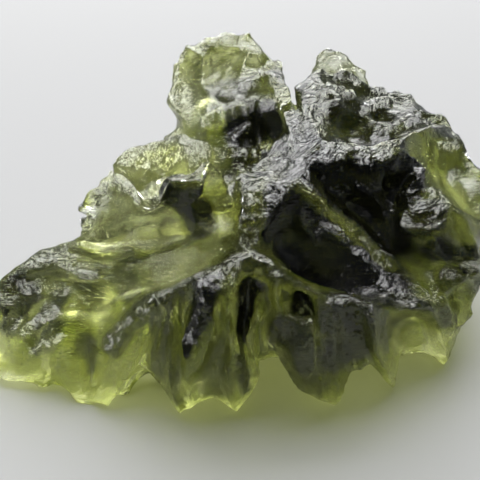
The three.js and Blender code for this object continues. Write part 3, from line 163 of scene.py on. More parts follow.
cut_finer(body, 1.5 * MM, 2)
cut_finer(body, 0.8 * MM, 2)

# %% [markdown]
# ## The view as a drawing board
#
# The biggest forms are in the solid. What is between them is made the way a carver works:
# by looking from the front and drawing lines on the stone. A point of the camera's view,
# which is 480 points wide and high, is sent down its own line of sight until it meets the
# stone. The other way round, every corner of the mesh has a place in the view. Sculpting
# by hand would do the same, but strokes with a name can be read, moved and tried again.

# %% From the view to the stone and back
VIEW_SIZE = 480
VIEW_STEP = 3                      # points of the view between two places on a line

look = camera.rotation_euler.to_matrix()
view_focus = LENS_MM / SENSOR_MM * VIEW_SIZE


def sight(u, v):
    """The direction of the camera's line of sight through a point of the view."""
    return look @ Vector(((u - VIEW_SIZE / 2) / view_focus,
                          (VIEW_SIZE / 2 - v) / view_focus, -1)).normalized()


def line_on_stone(tree, points, behind=0.0):
    """Places on the stone, or behind its face, close together, under a line on the view."""
    drawn = [Vector(p) for p in points]
    dense = []
    for a, b in zip(drawn, drawn[1:] or drawn):
        steps = max(1, round((b - a).length / VIEW_STEP))
        dense += [a.lerp(b, i / steps) for i in range(steps)]
    dense.append(drawn[-1])
    sights = [sight(*p) for p in dense]
    hits = [tree.ray_cast(camera_place, s)[0] for s in sights]
    return np.array([h + behind * s for h, s in zip(hits, sights) if h is not None])


def on_view(places):
    """Where places are in the view, the line of sight to each, and how far away it is."""
    beam = places - np.array(camera_place)
    reach = np.linalg.norm(beam, axis=1)
    seen = beam @ np.array(look)
    view = VIEW_SIZE / 2 + view_focus * seen[:, :2] / -seen[:, 2:] * (1, -1)
    return view, beam / reach[:, None], reach


def corner_places(mesh):
    """The places of all the corners, as an array."""
    mesh.verts.ensure_lookup_table()
    return np.array([v.co for v in mesh.verts])


def put_corners(mesh, places):
    """Moves every corner to its new place."""
    for v, place in zip(mesh.verts, places):
        v.co = place
    mesh.normal_update()


print("one point of the view is", round(CAMERA_AWAY_MM / view_focus, 2), "mm at the aim")

# %% [markdown]
# ## The outline
#
# Acids bite into the edge of such a stone as they do into its faces: the back lobe has a
# waist, there is an arch beside the leg, and the fin's edge dips between two peaks. The
# solid has these bites a little too shallow. Cutting them would leave new walls to round
# off, so the glass near each bite is shifted sideways instead, all the way through the
# stone or down to a given depth, and it fades out towards the edge of the bite.

# %% Nudge the outline
ALL_OF_IT = 99.0                   # mm, further away than any of the stone
BEHIND_THE_FIN = 51.8              # mm from the camera, between the fin and what is behind
DEPTH_FADE = 2.0                   # mm over which a shift ends in depth
NUDGES = [          # (name, middle, reach and shift in points of the view, to which depth mm)
    ("waist of the back lobe", (156, 126), 30, (20, 0), ALL_OF_IT),
    ("left edge of the fin", (92, 211), 15, (-13, 0), ALL_OF_IT),
    ("left corner of the back lobe", (174, 44), 16, (7, 5), ALL_OF_IT),
    ("bottom of the arm", (56, 398), 24, (2, -11), ALL_OF_IT),
    ("arch beside the leg", (142, 390), 22, (4, -18), ALL_OF_IT),
    ("dip in the fin's edge", (148, 186), 24, (0, 17), BEHIND_THE_FIN),
    ("right peak of the fin", (206, 174), 14, (0, -10), BEHIND_THE_FIN),
]


def nudge(mesh, nudges):
    """Shifts the glass sideways, as seen from the camera, at a few places of the outline."""
    places = corner_places(mesh)
    for _, middle, reach, shift, depth in nudges:
        view, _, away = on_view(places)
        share = np.clip(1 - (np.linalg.norm(view - middle, axis=1) / reach) ** 2, 0, 1) ** 2
        share *= np.clip((depth * MM - away) / (DEPTH_FADE * MM) + 0.5, 0, 1)
        side = np.array(look.col[0]) * shift[0] - np.array(look.col[1]) * shift[1]
        places += (share * away / view_focus)[:, None] * side
    put_corners(mesh, places)
    print("nudged", len(nudges), "places")


nudge(body, NUDGES)

# %% [markdown]
# ## Carving by the view
#
# Ribs, knobs, notches and small bowls fill the space between the big forms. Each is a
# line drawn on the stone, and the corners near it are raised or sunk along the stone's
# own normals, so that it follows whatever it lies on:
#
# - a crest comes to a sharp edge, a notch is the same thing turned inwards,
# - a lump is round on top and fades into what is beside it,
# - a bowl is a smooth hollow with a clear rim, as the acids leave it.
#
# The larger forms come first and the mesh is cut finer after them, because a thin rib
# needs more corners than a lump does.

# %% Carving tools
SHARPNESS = {"crest": (1.0, 1.25), "notch": (1.0, 1.25), "lump": (2.0, 2.0), "bowl": (2.0, 1.0)}
INWARD = ("notch", "bowl")
END_FADE = 0.25                    # the share of a line over which each end fades out
END_HEIGHT = 0.35                  # the share of its height that is left at the very end


def facet_normals(places, facets):
    """The normal at each corner, as the mean of its facets' normals by size."""
    p, q, r = (places[facets[:, i]] for i in range(3))
    across = np.cross(q - p, r - p)
    total = np.zeros_like(places)
    for i in range(3):
        for axis in range(3):
            total[:, axis] += np.bincount(facets[:, i], across[:, axis], len(places))
    return total / np.maximum(np.linalg.norm(total, axis=1, keepdims=True), 1e-20)


def carve(places, normals, line, kind, width, height):
    """Raises or sinks the corners within a width of a line on the stone."""
    low, high = line.min(axis=0) - width, line.max(axis=0) + width
    near = np.flatnonzero(np.all((places > low) & (places < high), axis=1))
    gaps = np.linalg.norm(places[near][:, None] - line[None], axis=2)
    within = gaps.min(axis=1) < width
    near, gaps = near[within], gaps[within]
    if not len(near):
        return
    closest = gaps.argmin(axis=1)
    along = closest / max(1, len(line) - 1)
    fade = np.clip(np.minimum(along, 1 - along) / END_FADE, 0, 1) if len(line) > 3 else 1.0
    bend, top = SHARPNESS[kind]
    lift = (1 - (gaps.min(axis=1) / width) ** bend) ** top
    outward = (gaps < width).astype(float).T @ normals[near]
    outward /= np.maximum(np.linalg.norm(outward, axis=1, keepdims=True), 1e-20)
    sign = -1 if kind in INWARD else 1
    full = END_HEIGHT + (1 - END_HEIGHT) * fade
    places[near] += (sign * height * lift * full)[:, None] * outward[closest]


def carve_all(mesh, strokes):
    """Carves a list of strokes, each (name, kind, width mm, height mm, points)."""
    places = corner_places(mesh)
    tree = BVHTree.FromBMesh(mesh)
    facets = np.array([[v.index for v in f.verts] for f in mesh.faces])
    normals = facet_normals(places, facets)
    for name, kind, width, height, points in strokes:
        line = line_on_stone(tree, points)
        if not len(line):
            print("no stone under", name)
            continue
        carve(places, normals, line, kind, width * MM, height * MM)
    put_corners(mesh, places)
    print("carved", len(strokes), "strokes")


# %% The larger forms
LARGER_FORMS = [
    ("left knob of the block", "lump", 2.3, 1.7, [(314, 172), (330, 160), (343, 152)]),
    ("middle knob of the block", "lump", 1.6, 1.3, [(357, 165), (367, 160), (376, 160)]),
    ("right knob of the block", "lump", 1.6, 1.7, [(383, 158), (392, 150)]),
    ("bowl right of the knobs", "bowl", 2.3, 2.4, [(401, 170), (402, 190), (394, 214)]),
    ("bowl between two ribs", "bowl", 2.2, 2.0, [(345, 195), (362, 214), (385, 238)]),
    ("plate", "lump", 2.0, 1.4, [(414, 222), (426, 214), (436, 222)]),
    ("cave under the plate", "bowl", 1.5, 1.2, [(436, 250), (452, 253), (466, 260)]),
    ("low rib on the right", "lump", 1.3, 1.2, [(446, 277), (460, 270), (476, 262)]),
    ("great bowl", "bowl", 3.4, 1.3, [(283, 226), (300, 248), (322, 262), (350, 272)]),
    ("brow, left", "lump", 1.7, 0.9, [(250, 261), (224, 267), (196, 281), (168, 294),
                                      (142, 307), (122, 330), (102, 350)]),
    ("brow, right", "lump", 1.5, 0.8, [(250, 261), (272, 266), (298, 281), (322, 293)]),
    ("scoop right of the fin", "bowl", 2.2, 1.2, [(222, 190), (229, 210), (223, 234)]),
    ("scoop of the fin", "bowl", 3.2, 0.6, [(112, 215), (140, 214), (172, 222)]),
    ("nose", "lump", 1.5, 1.0, [(252, 178), (247, 196), (250, 216), (246, 236)]),
    ("stream of glass, left", "lump", 1.4, 1.1, [(272, 68), (278, 88), (288, 106),
                                                 (295, 124), (300, 146), (300, 162)]),
    ("stream of glass, middle", "lump", 1.4, 1.0, [(311, 84), (308, 104), (306, 126),
                                                   (304, 146)]),
    ("knob behind the block", "lump", 2.0, 1.6, [(334, 102), (334, 122)]),
    ("hollow behind the block", "bowl", 1.7, 1.8, [(357, 112), (356, 132)]),
    ("second hollow behind the block", "bowl", 1.6, 1.4, [(388, 108), (384, 122)]),
    ("knob of the wing's root", "lump", 1.5, 1.2, [(376, 142), (382, 130), (396, 124)]),
    ("pit", "bowl", 3.0, 2.0, [(248, 128), (266, 122)]),
    ("bar over the pit", "lump", 1.3, 1.5, [(206, 120), (226, 113), (248, 106), (268, 100)]),
    ("second bar", "lump", 1.1, 1.1, [(242, 86), (258, 82), (276, 79)]),
    ("wing scoop, left", "bowl", 2.2, 0.6, [(418, 158), (420, 176)]),
    ("wing scoop, right", "bowl", 2.4, 0.6, [(452, 160), (456, 182)]),
    ("left bump of the back lobe", "lump", 1.8, 0.2, [(186, 50)]),
    ("middle bump of the back lobe", "lump", 1.8, 0.7, [(222, 44), (236, 46)]),
    ("right bump of the back lobe", "lump", 1.9, 0.7, [(254, 52)]),
    ("hollow of the back lobe", "bowl", 2.8, 0.8, [(200, 66), (224, 70)]),
    ("blade of the fringe", "lump", 1.3, 1.3, [(208, 288), (203, 310), (195, 334),
                                               (188, 352), (186, 374)]),
    ("tongue of the fringe", "lump", 2.2, 0.8, [(290, 335), (298, 352), (308, 375)]),
    ("fold under the leg", "bowl", 1.2, 0.7, [(142, 330), (136, 348), (128, 362)]),
]
carve_all(body, LARGER_FORMS)
cut_finer(body, 0.55 * MM, 1)

# %% Ribs and notches
RIBS = [
    ("notch between two knobs", "notch", 1.1, 1.6, [(350, 148), (353, 160), (358, 172)]),
    ("notch beside the right knob", "notch", 0.8, 1.1, [(377, 150), (377, 160), (378, 170)]),
    ("rib under the middle knob", "crest", 1.1, 1.2, [(354, 170), (362, 180), (370, 192),
                                                      (378, 204), (388, 222)]),
    ("rib beside the wing", "crest", 1.1, 1.3, [(398, 152), (408, 164), (417, 180),
                                                (410, 196), (403, 216)]),
    ("beard of the right knob", "lump", 1.2, 0.6, [(368, 178), (378, 184)]),
    ("long ridge", "crest", 1.4, 1.4, [(298, 183), (310, 195), (326, 207), (342, 221),
                                       (357, 232), (372, 248), (388, 264), (406, 280),
                                       (424, 296)]),
    ("ledge under the long ridge", "lump", 0.7, 0.4, [(322, 228), (336, 236), (352, 244),
                                                      (368, 256), (384, 270), (400, 284)]),
    ("rim of the great bowl", "crest", 1.0, 1.1, [(256, 236), (264, 216), (272, 203),
                                                  (286, 196), (298, 184)]),
    ("pane in the great bowl", "crest", 0.8, 0.4, [(300, 206), (302, 224), (312, 240)]),
    ("tooth of the plate", "crest", 0.9, 1.1, [(404, 226), (412, 210), (422, 196),
                                               (434, 196), (444, 205)]),
    ("step of the plate", "notch", 0.5, 0.4, [(412, 212), (426, 222), (442, 222)]),
    ("rib right of the plate", "crest", 0.9, 0.9, [(446, 204), (456, 214), (468, 236),
                                                   (476, 252)]),
    ("edge above the window", "crest", 0.9, 0.6, [(376, 296), (392, 292), (412, 300),
                                                  (430, 308)]),
    ("upper low rib", "crest", 0.8, 0.5, [(436, 286), (450, 283), (464, 281)]),
    ("right side, hollow under the rib", "bowl", 1.4, 1.0, [(452, 294), (464, 300)]),
    ("right side, lower rib", "crest", 1.0, 0.8, [(440, 296), (446, 312), (448, 332),
                                                  (446, 350)]),
    ("right side, outer rib", "crest", 1.0, 0.8, [(472, 284), (468, 302), (462, 322)]),
    ("right side, gully", "notch", 0.9, 0.7, [(476, 268), (478, 286)]),
    ("right side, flank groove", "notch", 0.8, 0.5, [(452, 226), (464, 240), (474, 256)]),
    ("left edge of the fin", "lump", 1.5, 0.7, [(98, 190), (94, 206), (90, 222)]),
    ("foot of the fin", "crest", 0.8, 0.7, [(60, 246), (84, 248), (104, 256), (132, 253),
                                            (160, 248), (190, 239)]),
    ("shelf of the fin's right peak", "lump", 0.9, 0.5, [(172, 182), (188, 182), (202, 176)]),
    ("wedge under the right peak", "notch", 1.0, 0.8, [(196, 196), (200, 208), (206, 224)]),
    ("arm crest", "lump", 1.1, 0.6, [(30, 274), (46, 268), (64, 268), (82, 272), (98, 272)]),
    ("arm gully", "notch", 1.0, 0.6, [(22, 290), (24, 306), (16, 324)]),
    ("arm fold, upper", "crest", 0.9, 0.5, [(48, 300), (38, 318), (22, 334), (6, 341)]),
    ("arm fold, middle", "crest", 0.9, 0.5, [(54, 340), (38, 352), (30, 368)]),
    ("arm fold, lower", "crest", 0.9, 0.5, [(66, 346), (74, 362), (66, 382)]),
    ("arm gully, lower", "notch", 0.8, 0.5, [(56, 352), (46, 366), (50, 380)]),
    ("leg crest", "crest", 1.0, 0.5, [(134, 322), (122, 346), (110, 372), (98, 398)]),
    ("leg gully", "notch", 0.9, 0.5, [(88, 344), (86, 364), (92, 388)]),
    ("shelf on the blade", "lump", 0.8, 0.6, [(188, 342), (188, 352)]),
    ("gully left of the blade", "notch", 0.9, 0.8, [(176, 304), (180, 326), (182, 348)]),
    ("gully right of the blade", "notch", 0.9, 0.9, [(214, 306), (222, 330), (226, 352)]),
    ("rib under the blade", "crest", 0.8, 0.6, [(214, 326), (204, 344), (194, 368),
                                                (180, 392)]),
    ("first green rib", "crest", 0.8, 0.7, [(239, 277), (229, 296), (225, 316), (230, 336),
                                            (240, 356), (243, 380)]),
    ("dark pane", "bowl", 1.0, 0.7, [(248, 284), (248, 306), (242, 326)]),
    ("oval fold, left side", "crest", 0.8, 0.8, [(264, 308), (254, 322), (250, 342),
                                                 (254, 364), (248, 402)]),
    ("oval fold, right side", "crest", 0.7, 0.6, [(264, 308), (276, 316), (270, 336),
                                                  (262, 358)]),
    ("oval fold, inside", "bowl", 0.6, 0.4, [(262, 322), (258, 342)]),
    ("rib of the light pane", "crest", 0.7, 0.5, [(276, 280), (277, 300), (284, 318)]),
    ("light pane", "bowl", 0.7, 0.4, [(285, 284), (286, 308)]),
    ("foot of the great bowl", "bowl", 1.5, 1.2, [(296, 271), (320, 281), (345, 287), (372, 289)]),
    ("dark niche", "bowl", 1.1, 0.8, [(302, 294), (302, 312)]),
    ("lip of the tongue", "crest", 0.8, 0.5, [(278, 324), (292, 318), (304, 320), (314, 318)]),
    ("great rib", "crest", 1.0, 0.9, [(318, 295), (322, 312), (320, 340), (322, 366),
                                      (321, 394)]),
    ("gully beside the great rib", "notch", 0.9, 0.6, [(329, 306), (329, 334), (333, 362)]),
    ("fold at the pane's foot", "crest", 0.8, 0.5, [(336, 368), (354, 366), (370, 360)]),
    ("grey rib", "crest", 0.8, 0.6, [(366, 304), (371, 326), (374, 348), (386, 366),
                                     (396, 386)]),
    ("rib at the window", "crest", 0.8, 0.5, [(384, 318), (382, 336), (388, 356)]),
    ("rib in the window", "crest", 0.7, 0.5, [(428, 322), (434, 342), (442, 360)]),
    ("saddle, first vein", "crest", 1.0, 0.9, [(232, 188), (250, 176), (268, 164),
                                               (280, 152), (291, 144)]),
    ("saddle, second vein", "crest", 0.9, 0.9, [(256, 188), (272, 176), (288, 168),
                                                (302, 160)]),
    ("saddle, cross vein", "crest", 0.8, 0.8, [(262, 150), (272, 160), (284, 172)]),
    ("saddle hollow", "bowl", 1.1, 0.5, [(246, 164), (256, 166)]),
    ("saddle gully", "notch", 0.8, 0.5, [(262, 176), (278, 166), (290, 158)]),
    ("gully between the streams", "notch", 1.0, 0.8, [(292, 92), (297, 112), (302, 134)]),
    ("stream of glass, right", "crest", 0.9, 0.6, [(318, 76), (323, 90), (319, 110),
                                                   (315, 132), (313, 148)]),
    ("rim of the knob", "crest", 0.8, 0.9, [(320, 94), (328, 89), (342, 90), (353, 96)]),
    ("gully under the rim", "notch", 0.8, 0.5, [(324, 98), (338, 97), (350, 104)]),
    ("dark crest at the back", "crest", 0.9, 0.6, [(328, 80), (343, 74), (357, 83),
                                                   (370, 92)]),
    ("silver bar at the back", "crest", 0.8, 1.0, [(366, 109), (377, 104), (388, 100)]),
    ("back rim", "crest", 0.9, 0.6, [(372, 90), (386, 86), (396, 94), (404, 106)]),
    ("back rim, right", "crest", 0.8, 0.5, [(394, 92), (412, 94), (412, 110), (400, 124)]),
    ("vein at the wing's root", "crest", 1.0, 0.6, [(422, 112), (406, 122), (392, 134)]),
    ("rim of the wing", "crest", 1.0, 0.5, [(402, 138), (410, 128), (426, 121), (440, 117),
                                            (452, 124), (464, 140), (474, 154)]),
    ("rib of the wing", "crest", 0.8, 0.4, [(434, 146), (432, 164), (440, 190)]),
    ("vein in the pit", "crest", 0.9, 0.7, [(236, 138), (245, 128), (252, 118)]),
    ("rim of the pit", "crest", 0.9, 0.6, [(232, 150), (250, 152), (270, 146), (284, 132)]),
    ("patch above the pit", "lump", 1.1, 0.6, [(226, 92), (236, 96)]),
    ("upper bar", "crest", 0.9, 0.6, [(246, 70), (260, 74), (272, 79)]),
    ("fold of the left lobe", "crest", 0.7, 0.3, [(140, 166), (165, 158), (186, 149),
                                                  (206, 143)]),
    ("fold of the left lobe, lower", "crest", 0.7, 0.3, [(120, 160), (144, 172),
                                                         (166, 176)]),
]
carve_all(body, RIBS)
cut_finer(body, 0.6 * MM, 0)

# %% [markdown]
# ## Ledges that catch the window
#
# The brightest things on the stone are small tops that mirror the window: the knobs, the
# nose, the plate. The melt lay in layers, the stone breaks and wears along them, and so
# these tops all lie the same way, nearly level and dipping a little to the front.
#
# Raising each corner to one level would do for a gentle slope, but most of these tops sit
# on steep fronts, where it would tear the mesh into walls. So a ledge is cut by the line
# of sight: the corners near its line are brought forward, towards the camera, until they
# lie in the layers' plane. They only come forward, because a corner pushed back would
# open a pit over the ledge, and no further than is given, because a deep ledge would
# throw the front under it into shade.

# %% Cut the ledges
LEDGES = [            # (name, half height in points of the view, furthest move mm, points)
    ("top of the left knob", 9, 1.4, [(318, 158), (330, 154), (343, 152)]),
    ("top of the middle knob", 7, 1.4, [(359, 160), (373, 160)]),
    ("top of the right knob", 7, 1.4, [(381, 156), (391, 150)]),
    ("plate, first step", 7, 2.0, [(418, 207), (430, 203), (441, 206)]),
    ("plate, second step", 8, 2.0, [(410, 223), (424, 221), (440, 224)]),
    ("low rib", 8, 3.2, [(448, 275), (460, 271), (472, 267)]),
    ("nose, first step", 5.5, 2.0, [(245, 190), (257, 188)]),
    ("nose, second step", 5.5, 2.0, [(243, 203), (255, 201)]),
    ("nose, third step", 5.5, 2.0, [(243, 216), (254, 215)]),
    ("nose, fourth step", 5.5, 2.0, [(243, 229), (252, 229)]),
    ("top of the fin", 5, 1.2, [(174, 183), (188, 182), (202, 180)]),
    ("top of the blade", 7, 2.0, [(208, 287), (218, 286), (228, 281)]),
]
LEDGE_LIFT = 0.06                  # of a ledge over its line, mm for each point of its height
LEDGE_FADE = 0.3                   # how far past its edge a ledge fades out, of its height
SAME_FACE = 0.3                    # mm; a corner further behind the stone's face isn't seen
LAYERS = np.array((0.0, -0.29, 0.957))     # the layers' normal: they dip to the front


def gap_on_view(view, points):
    """How far, in points of the view, each place is from a line drawn on it."""
    ends = np.array(points, float)
    gap = np.full(len(view), np.inf)
    for a, b in zip(ends, ends[1:]):
        along = np.clip((view - a) @ (b - a) / ((b - a) @ (b - a)), 0, 1)
        gap = np.minimum(gap, np.linalg.norm(view - a - along[:, None] * (b - a), axis=1))
    return gap


def cut_ledges(mesh, ledges):
    """Brings the corners near each line forward until they lie along the layers."""
    places = corner_places(mesh)
    tree = BVHTree.FromBMesh(mesh)
    view, beam, reach = on_view(places)
    edge = 1 + LEDGE_FADE
    for _, half, furthest, points in ledges:
        middle = line_on_stone(tree, points).mean(axis=0)
        gap = gap_on_view(view, points)
        for i in np.flatnonzero(gap < edge * half):
            hit = tree.ray_cast(camera_place, Vector(beam[i]))[3]
            if hit is None or abs(hit - reach[i]) > SAME_FACE * MM:
                continue
            share = min(1.0, (edge - gap[i] / half) / LEDGE_FADE)
            rise = (middle - places[i]) @ LAYERS + LEDGE_LIFT * half * MM
            move = rise / (beam[i] @ LAYERS)
            places[i] += share * min(max(move, -furthest * MM), 0) * beam[i]
    put_corners(mesh, places)
    print("cut", len(ledges), "ledges")


cut_ledges(body, LEDGES)

# %% [markdown]
# ## Shelves
#
# Smaller flat tops run along the ribs and the streams of glass, where the slope is
# gentle. There the plain way works: the corners near a line go to the line's own level,
# a little above where they were. How far each corner did so is kept, because the teeth
# that are etched in later stay off such a top.

# %% Cut the shelves
SHELVES = [                        # (name, width mm, lift mm, points of the view)
    ("left knob, lower", 0.6, 0.2, [(309, 184), (317, 186)]),
    ("upper low rib", 0.6, 0.2, [(436, 286), (448, 283)]),
    ("long ridge, first ledge", 0.7, 0.2, [(322, 230), (334, 235), (343, 238)]),
    ("long ridge, second ledge", 0.6, 0.2, [(358, 249), (370, 257), (380, 266)]),
    ("foot of the long ridge", 1.2, 0.3, [(392, 280), (404, 284), (418, 291)]),
    ("whole brow", 0.6, 0.2, [(226, 267), (204, 277), (182, 287), (164, 296), (146, 307),
                              (130, 320)]),
    ("middle of the brow", 1.2, 0.3, [(238, 262), (250, 258), (262, 264)]),
    ("brow, left", 0.6, 0.2, [(146, 309), (152, 302), (160, 298)]),
    ("brow, right", 0.5, 0.2, [(276, 279), (292, 286), (306, 291)]),
    ("lip right of the brow", 0.7, 0.3, [(334, 299), (350, 301), (366, 306)]),
    ("shelf on the blade", 0.8, 0.4, [(186, 346), (192, 346)]),
    ("glint of the oval fold", 0.5, 0.2, [(242, 362), (244, 370)]),
    ("tongue's lip", 0.5, 0.2, [(298, 318), (308, 318)]),
    ("bar over the pit", 0.7, 0.4, [(204, 119), (224, 114), (246, 107), (267, 101)]),
    ("second bar", 0.7, 0.3, [(243, 85), (258, 82), (274, 79)]),
    ("patch above the pit", 0.9, 0.3, [(224, 92), (238, 96)]),
    ("vein in the pit", 0.6, 0.3, [(236, 136), (246, 126)]),
    ("right peak of the fin", 0.8, 0.3, [(176, 184), (190, 182), (202, 177)]),
    ("left peak of the fin", 0.6, 0.2, [(104, 182), (114, 178)]),
    ("foot of the nose", 0.7, 0.2, [(246, 230), (252, 236)]),
    ("point of the saddle", 0.7, 0.3, [(286, 190), (296, 186)]),
    ("saddle", 0.9, 0.3, [(252, 178), (266, 170), (280, 160)]),
    ("saddle, right", 0.8, 0.3, [(292, 170), (306, 164)]),
    ("foot of the left stream", 0.8, 0.2, [(292, 128), (298, 144)]),
    ("left stream", 0.7, 0.2, [(276, 84), (284, 98)]),
    ("middle stream", 0.7, 0.2, [(310, 96), (307, 112)]),
    ("rim of the knob", 0.6, 0.3, [(323, 92), (336, 90), (350, 92)]),
    ("silver bar at the back", 0.7, 0.3, [(368, 108), (378, 104), (387, 101)]),
    ("root of the wing", 0.9, 0.4, [(380, 138), (386, 128)]),
    ("vein of the wing's root", 0.8, 0.3, [(394, 128), (406, 120), (418, 112)]),
    ("back rim", 0.7, 0.3, [(378, 90), (390, 88)]),
    ("glint of the wing", 0.6, 0.2, [(444, 145), (456, 146)]),
    ("arm's crest", 0.8, 0.3, [(62, 266), (78, 268), (92, 272)]),
    ("arm's crest, left", 0.7, 0.2, [(36, 262), (48, 256), (60, 254)]),
    ("arm's shoulder", 0.6, 0.2, [(44, 290), (56, 292)]),
    ("back lobe, middle bump", 1.0, 0.2, [(220, 46), (234, 47)]),
    ("back lobe, right bump", 1.0, 0.2, [(254, 54)]),
    ("left lobe's fold", 0.7, 0.2, [(150, 163), (170, 156), (192, 148)]),
]
SHELF_EDGE = 1.6                   # above 1, a shelf is flat in its middle and falls off late


def cut_shelves(mesh, shelves):
    """Brings the corners near each line to one level. Gives how far each corner did."""
    places = corner_places(mesh)
    tree = BVHTree.FromBMesh(mesh)
    levelled = np.zeros(len(places))
    for name, width, lift, points in shelves:
        line = line_on_stone(tree, points)
        if not len(line):
            print("no stone under", name)
            continue
        low, high = line.min(axis=0) - width * MM, line.max(axis=0) + width * MM
        near = np.flatnonzero(np.all((places > low) & (places < high), axis=1))
        gaps = np.linalg.norm(places[near][:, None] - line[None], axis=2)
        level = line[gaps.argmin(axis=1), 2] + lift * MM
        share = np.clip(SHELF_EDGE * (1 - (gaps.min(axis=1) / (width * MM)) ** 2), 0, 1)
        places[near, 2] += share * (level - places[near, 2])
        levelled[near] = np.maximum(levelled[near], share)
    put_corners(mesh, places)
    print("cut", len(shelves), "shelves")
    return levelled


level_top = cut_shelves(body, SHELVES)

# %% [markdown]
# ## Where the layers show as fine steps
#
# On the knobs, the saddle and the edges the layers also show at a smaller size: steps a
# quarter of a millimetre high, whose treads glint silver. They are too fine for the mesh,
# so they are made in the material. What is kept here is only where they are, painted
# with strokes, as a value at each corner.

# %% Mark the stepped places
STEPPED = [                        # (name, width mm, how much of it, points of the view)
    ("left knob, top", 1.8, 1.0, [(316, 160), (328, 153), (343, 150)]),
    ("left knob, front", 2.2, 0.6, [(320, 178), (340, 172)]),
    ("left knob, foot", 0.8, 0.9, [(308, 184), (317, 186)]),
    ("middle knob, top", 1.5, 1.0, [(359, 161), (373, 160)]),
    ("right knob, top", 1.5, 1.0, [(381, 157), (391, 149)]),
    ("beard of the right knob", 1.6, 0.8, [(364, 180), (380, 178)]),
    ("plate", 1.8, 1.0, [(416, 206), (428, 202), (442, 206), (430, 216), (414, 220),
                         (412, 232), (438, 230)]),
    ("low rib", 1.2, 1.0, [(446, 278), (460, 271), (474, 264)]),
    ("upper low rib", 0.7, 0.8, [(436, 286), (448, 283)]),
    ("long ridge, first ledge", 0.9, 1.0, [(322, 229), (334, 234), (344, 239)]),
    ("long ridge, second ledge", 0.7, 0.9, [(356, 249), (370, 258), (380, 266)]),
    ("foot of the long ridge", 1.3, 1.0, [(390, 279), (404, 285), (420, 293)]),
    ("edge of the long ridge", 0.4, 0.6, [(300, 186), (326, 208), (357, 233), (388, 265)]),
    ("middle of the brow", 1.0, 0.8, [(238, 262), (250, 258), (262, 264)]),
    ("whole brow", 0.8, 0.45, [(236, 264), (204, 278), (164, 297), (130, 320),
                               (108, 344)]),
    ("brow, right", 0.6, 0.5, [(262, 268), (284, 280), (308, 292)]),
    ("lip right of the brow", 0.8, 0.8, [(334, 299), (350, 301), (370, 307)]),
    ("top of the blade", 1.4, 1.0, [(206, 286), (218, 286), (228, 280), (212, 296)]),
    ("blade", 0.9, 0.35, [(202, 306), (196, 328)]),
    ("shelf on the blade", 0.9, 1.0, [(186, 342), (191, 352)]),
    ("oval fold", 0.5, 0.9, [(242, 360), (244, 372)]),
    ("lip of the tongue", 0.5, 0.7, [(298, 317), (308, 319)]),
    ("nose", 1.4, 1.0, [(256, 184), (248, 200), (250, 216), (247, 234)]),
    ("point of the great bowl", 0.9, 0.8, [(284, 196), (298, 184)]),
    ("saddle", 2.2, 0.75, [(248, 186), (262, 174), (280, 162), (292, 148)]),
    ("saddle, right", 1.6, 0.75, [(284, 180), (296, 172), (310, 164)]),
    ("stream of glass, left", 1.0, 0.9, [(272, 70), (284, 98), (296, 128), (300, 150)]),
    ("stream of glass, middle", 0.9, 0.9, [(310, 86), (307, 112), (304, 144)]),
    ("stream of glass, right", 0.7, 0.8, [(319, 80), (320, 110), (314, 146)]),
    ("rim of the knob", 0.8, 0.9, [(323, 93), (336, 89), (352, 94)]),
    ("side of the knob", 0.9, 0.6, [(324, 104), (322, 130)]),
    ("silver bar at the back", 0.8, 0.9, [(366, 110), (388, 101)]),
    ("root of the wing", 1.2, 0.9, [(378, 142), (386, 128), (404, 120), (418, 112)]),
    ("back rim", 0.8, 0.8, [(376, 90), (394, 88), (408, 96)]),
    ("dark crest at the back", 0.6, 0.5, [(330, 80), (344, 75), (358, 84)]),
    ("bar over the pit", 1.2, 1.0, [(204, 119), (226, 113), (248, 106), (268, 101)]),
    ("second bar", 1.0, 1.0, [(243, 85), (258, 82), (274, 79)]),
    ("patch above the pit", 1.1, 0.8, [(226, 92), (238, 96)]),
    ("rim of the pit", 0.8, 0.5, [(232, 152), (258, 154), (282, 140)]),
    ("vein in the pit", 0.6, 0.8, [(236, 137), (248, 125)]),
    ("right peak of the fin", 0.9, 0.9, [(174, 184), (190, 181), (200, 174), (206, 168)]),
    ("left peak of the fin", 0.8, 0.8, [(100, 184), (114, 178)]),
    ("edge of the fin", 0.8, 0.9, [(118, 180), (132, 192), (148, 198), (162, 192), (172, 184)]),
    ("left edge of the fin", 0.9, 0.7, [(110, 172), (98, 190), (90, 208), (84, 230)]),
    ("arm's crest", 1.2, 0.7, [(30, 262), (60, 256), (92, 272)]),
    ("arm", 0.8, 0.8, [(22, 288), (40, 286), (66, 290)]),
    ("arm, second fold", 0.7, 0.8, [(26, 330), (40, 318), (56, 312)]),
    ("arm, third fold", 0.6, 0.7, [(30, 352), (44, 344), (60, 338)]),
    ("left lobe", 2.6, 0.6, [(134, 154), (164, 148), (196, 144)]),
    ("back lobe, left edge", 1.0, 0.5, [(181, 50), (176, 76), (178, 110)]),
    ("back lobe, top", 1.0, 0.5, [(196, 40), (232, 38), (258, 50)]),
    ("glint of the wing", 0.7, 0.8, [(444, 145), (456, 146)]),
    ("rim of the wing", 0.6, 0.5, [(410, 128), (440, 117), (464, 140)]),
    ("right side", 0.6, 0.6, [(456, 214), (468, 236), (476, 252)]),
]


def gaps_to(places, line):
    """How far each place is from the nearest spot of a line on the stone."""
    gaps = np.full(len(places), np.inf)
    for spot in line:
        gaps = np.minimum(gaps, np.linalg.norm(places - spot, axis=1))
    return gaps


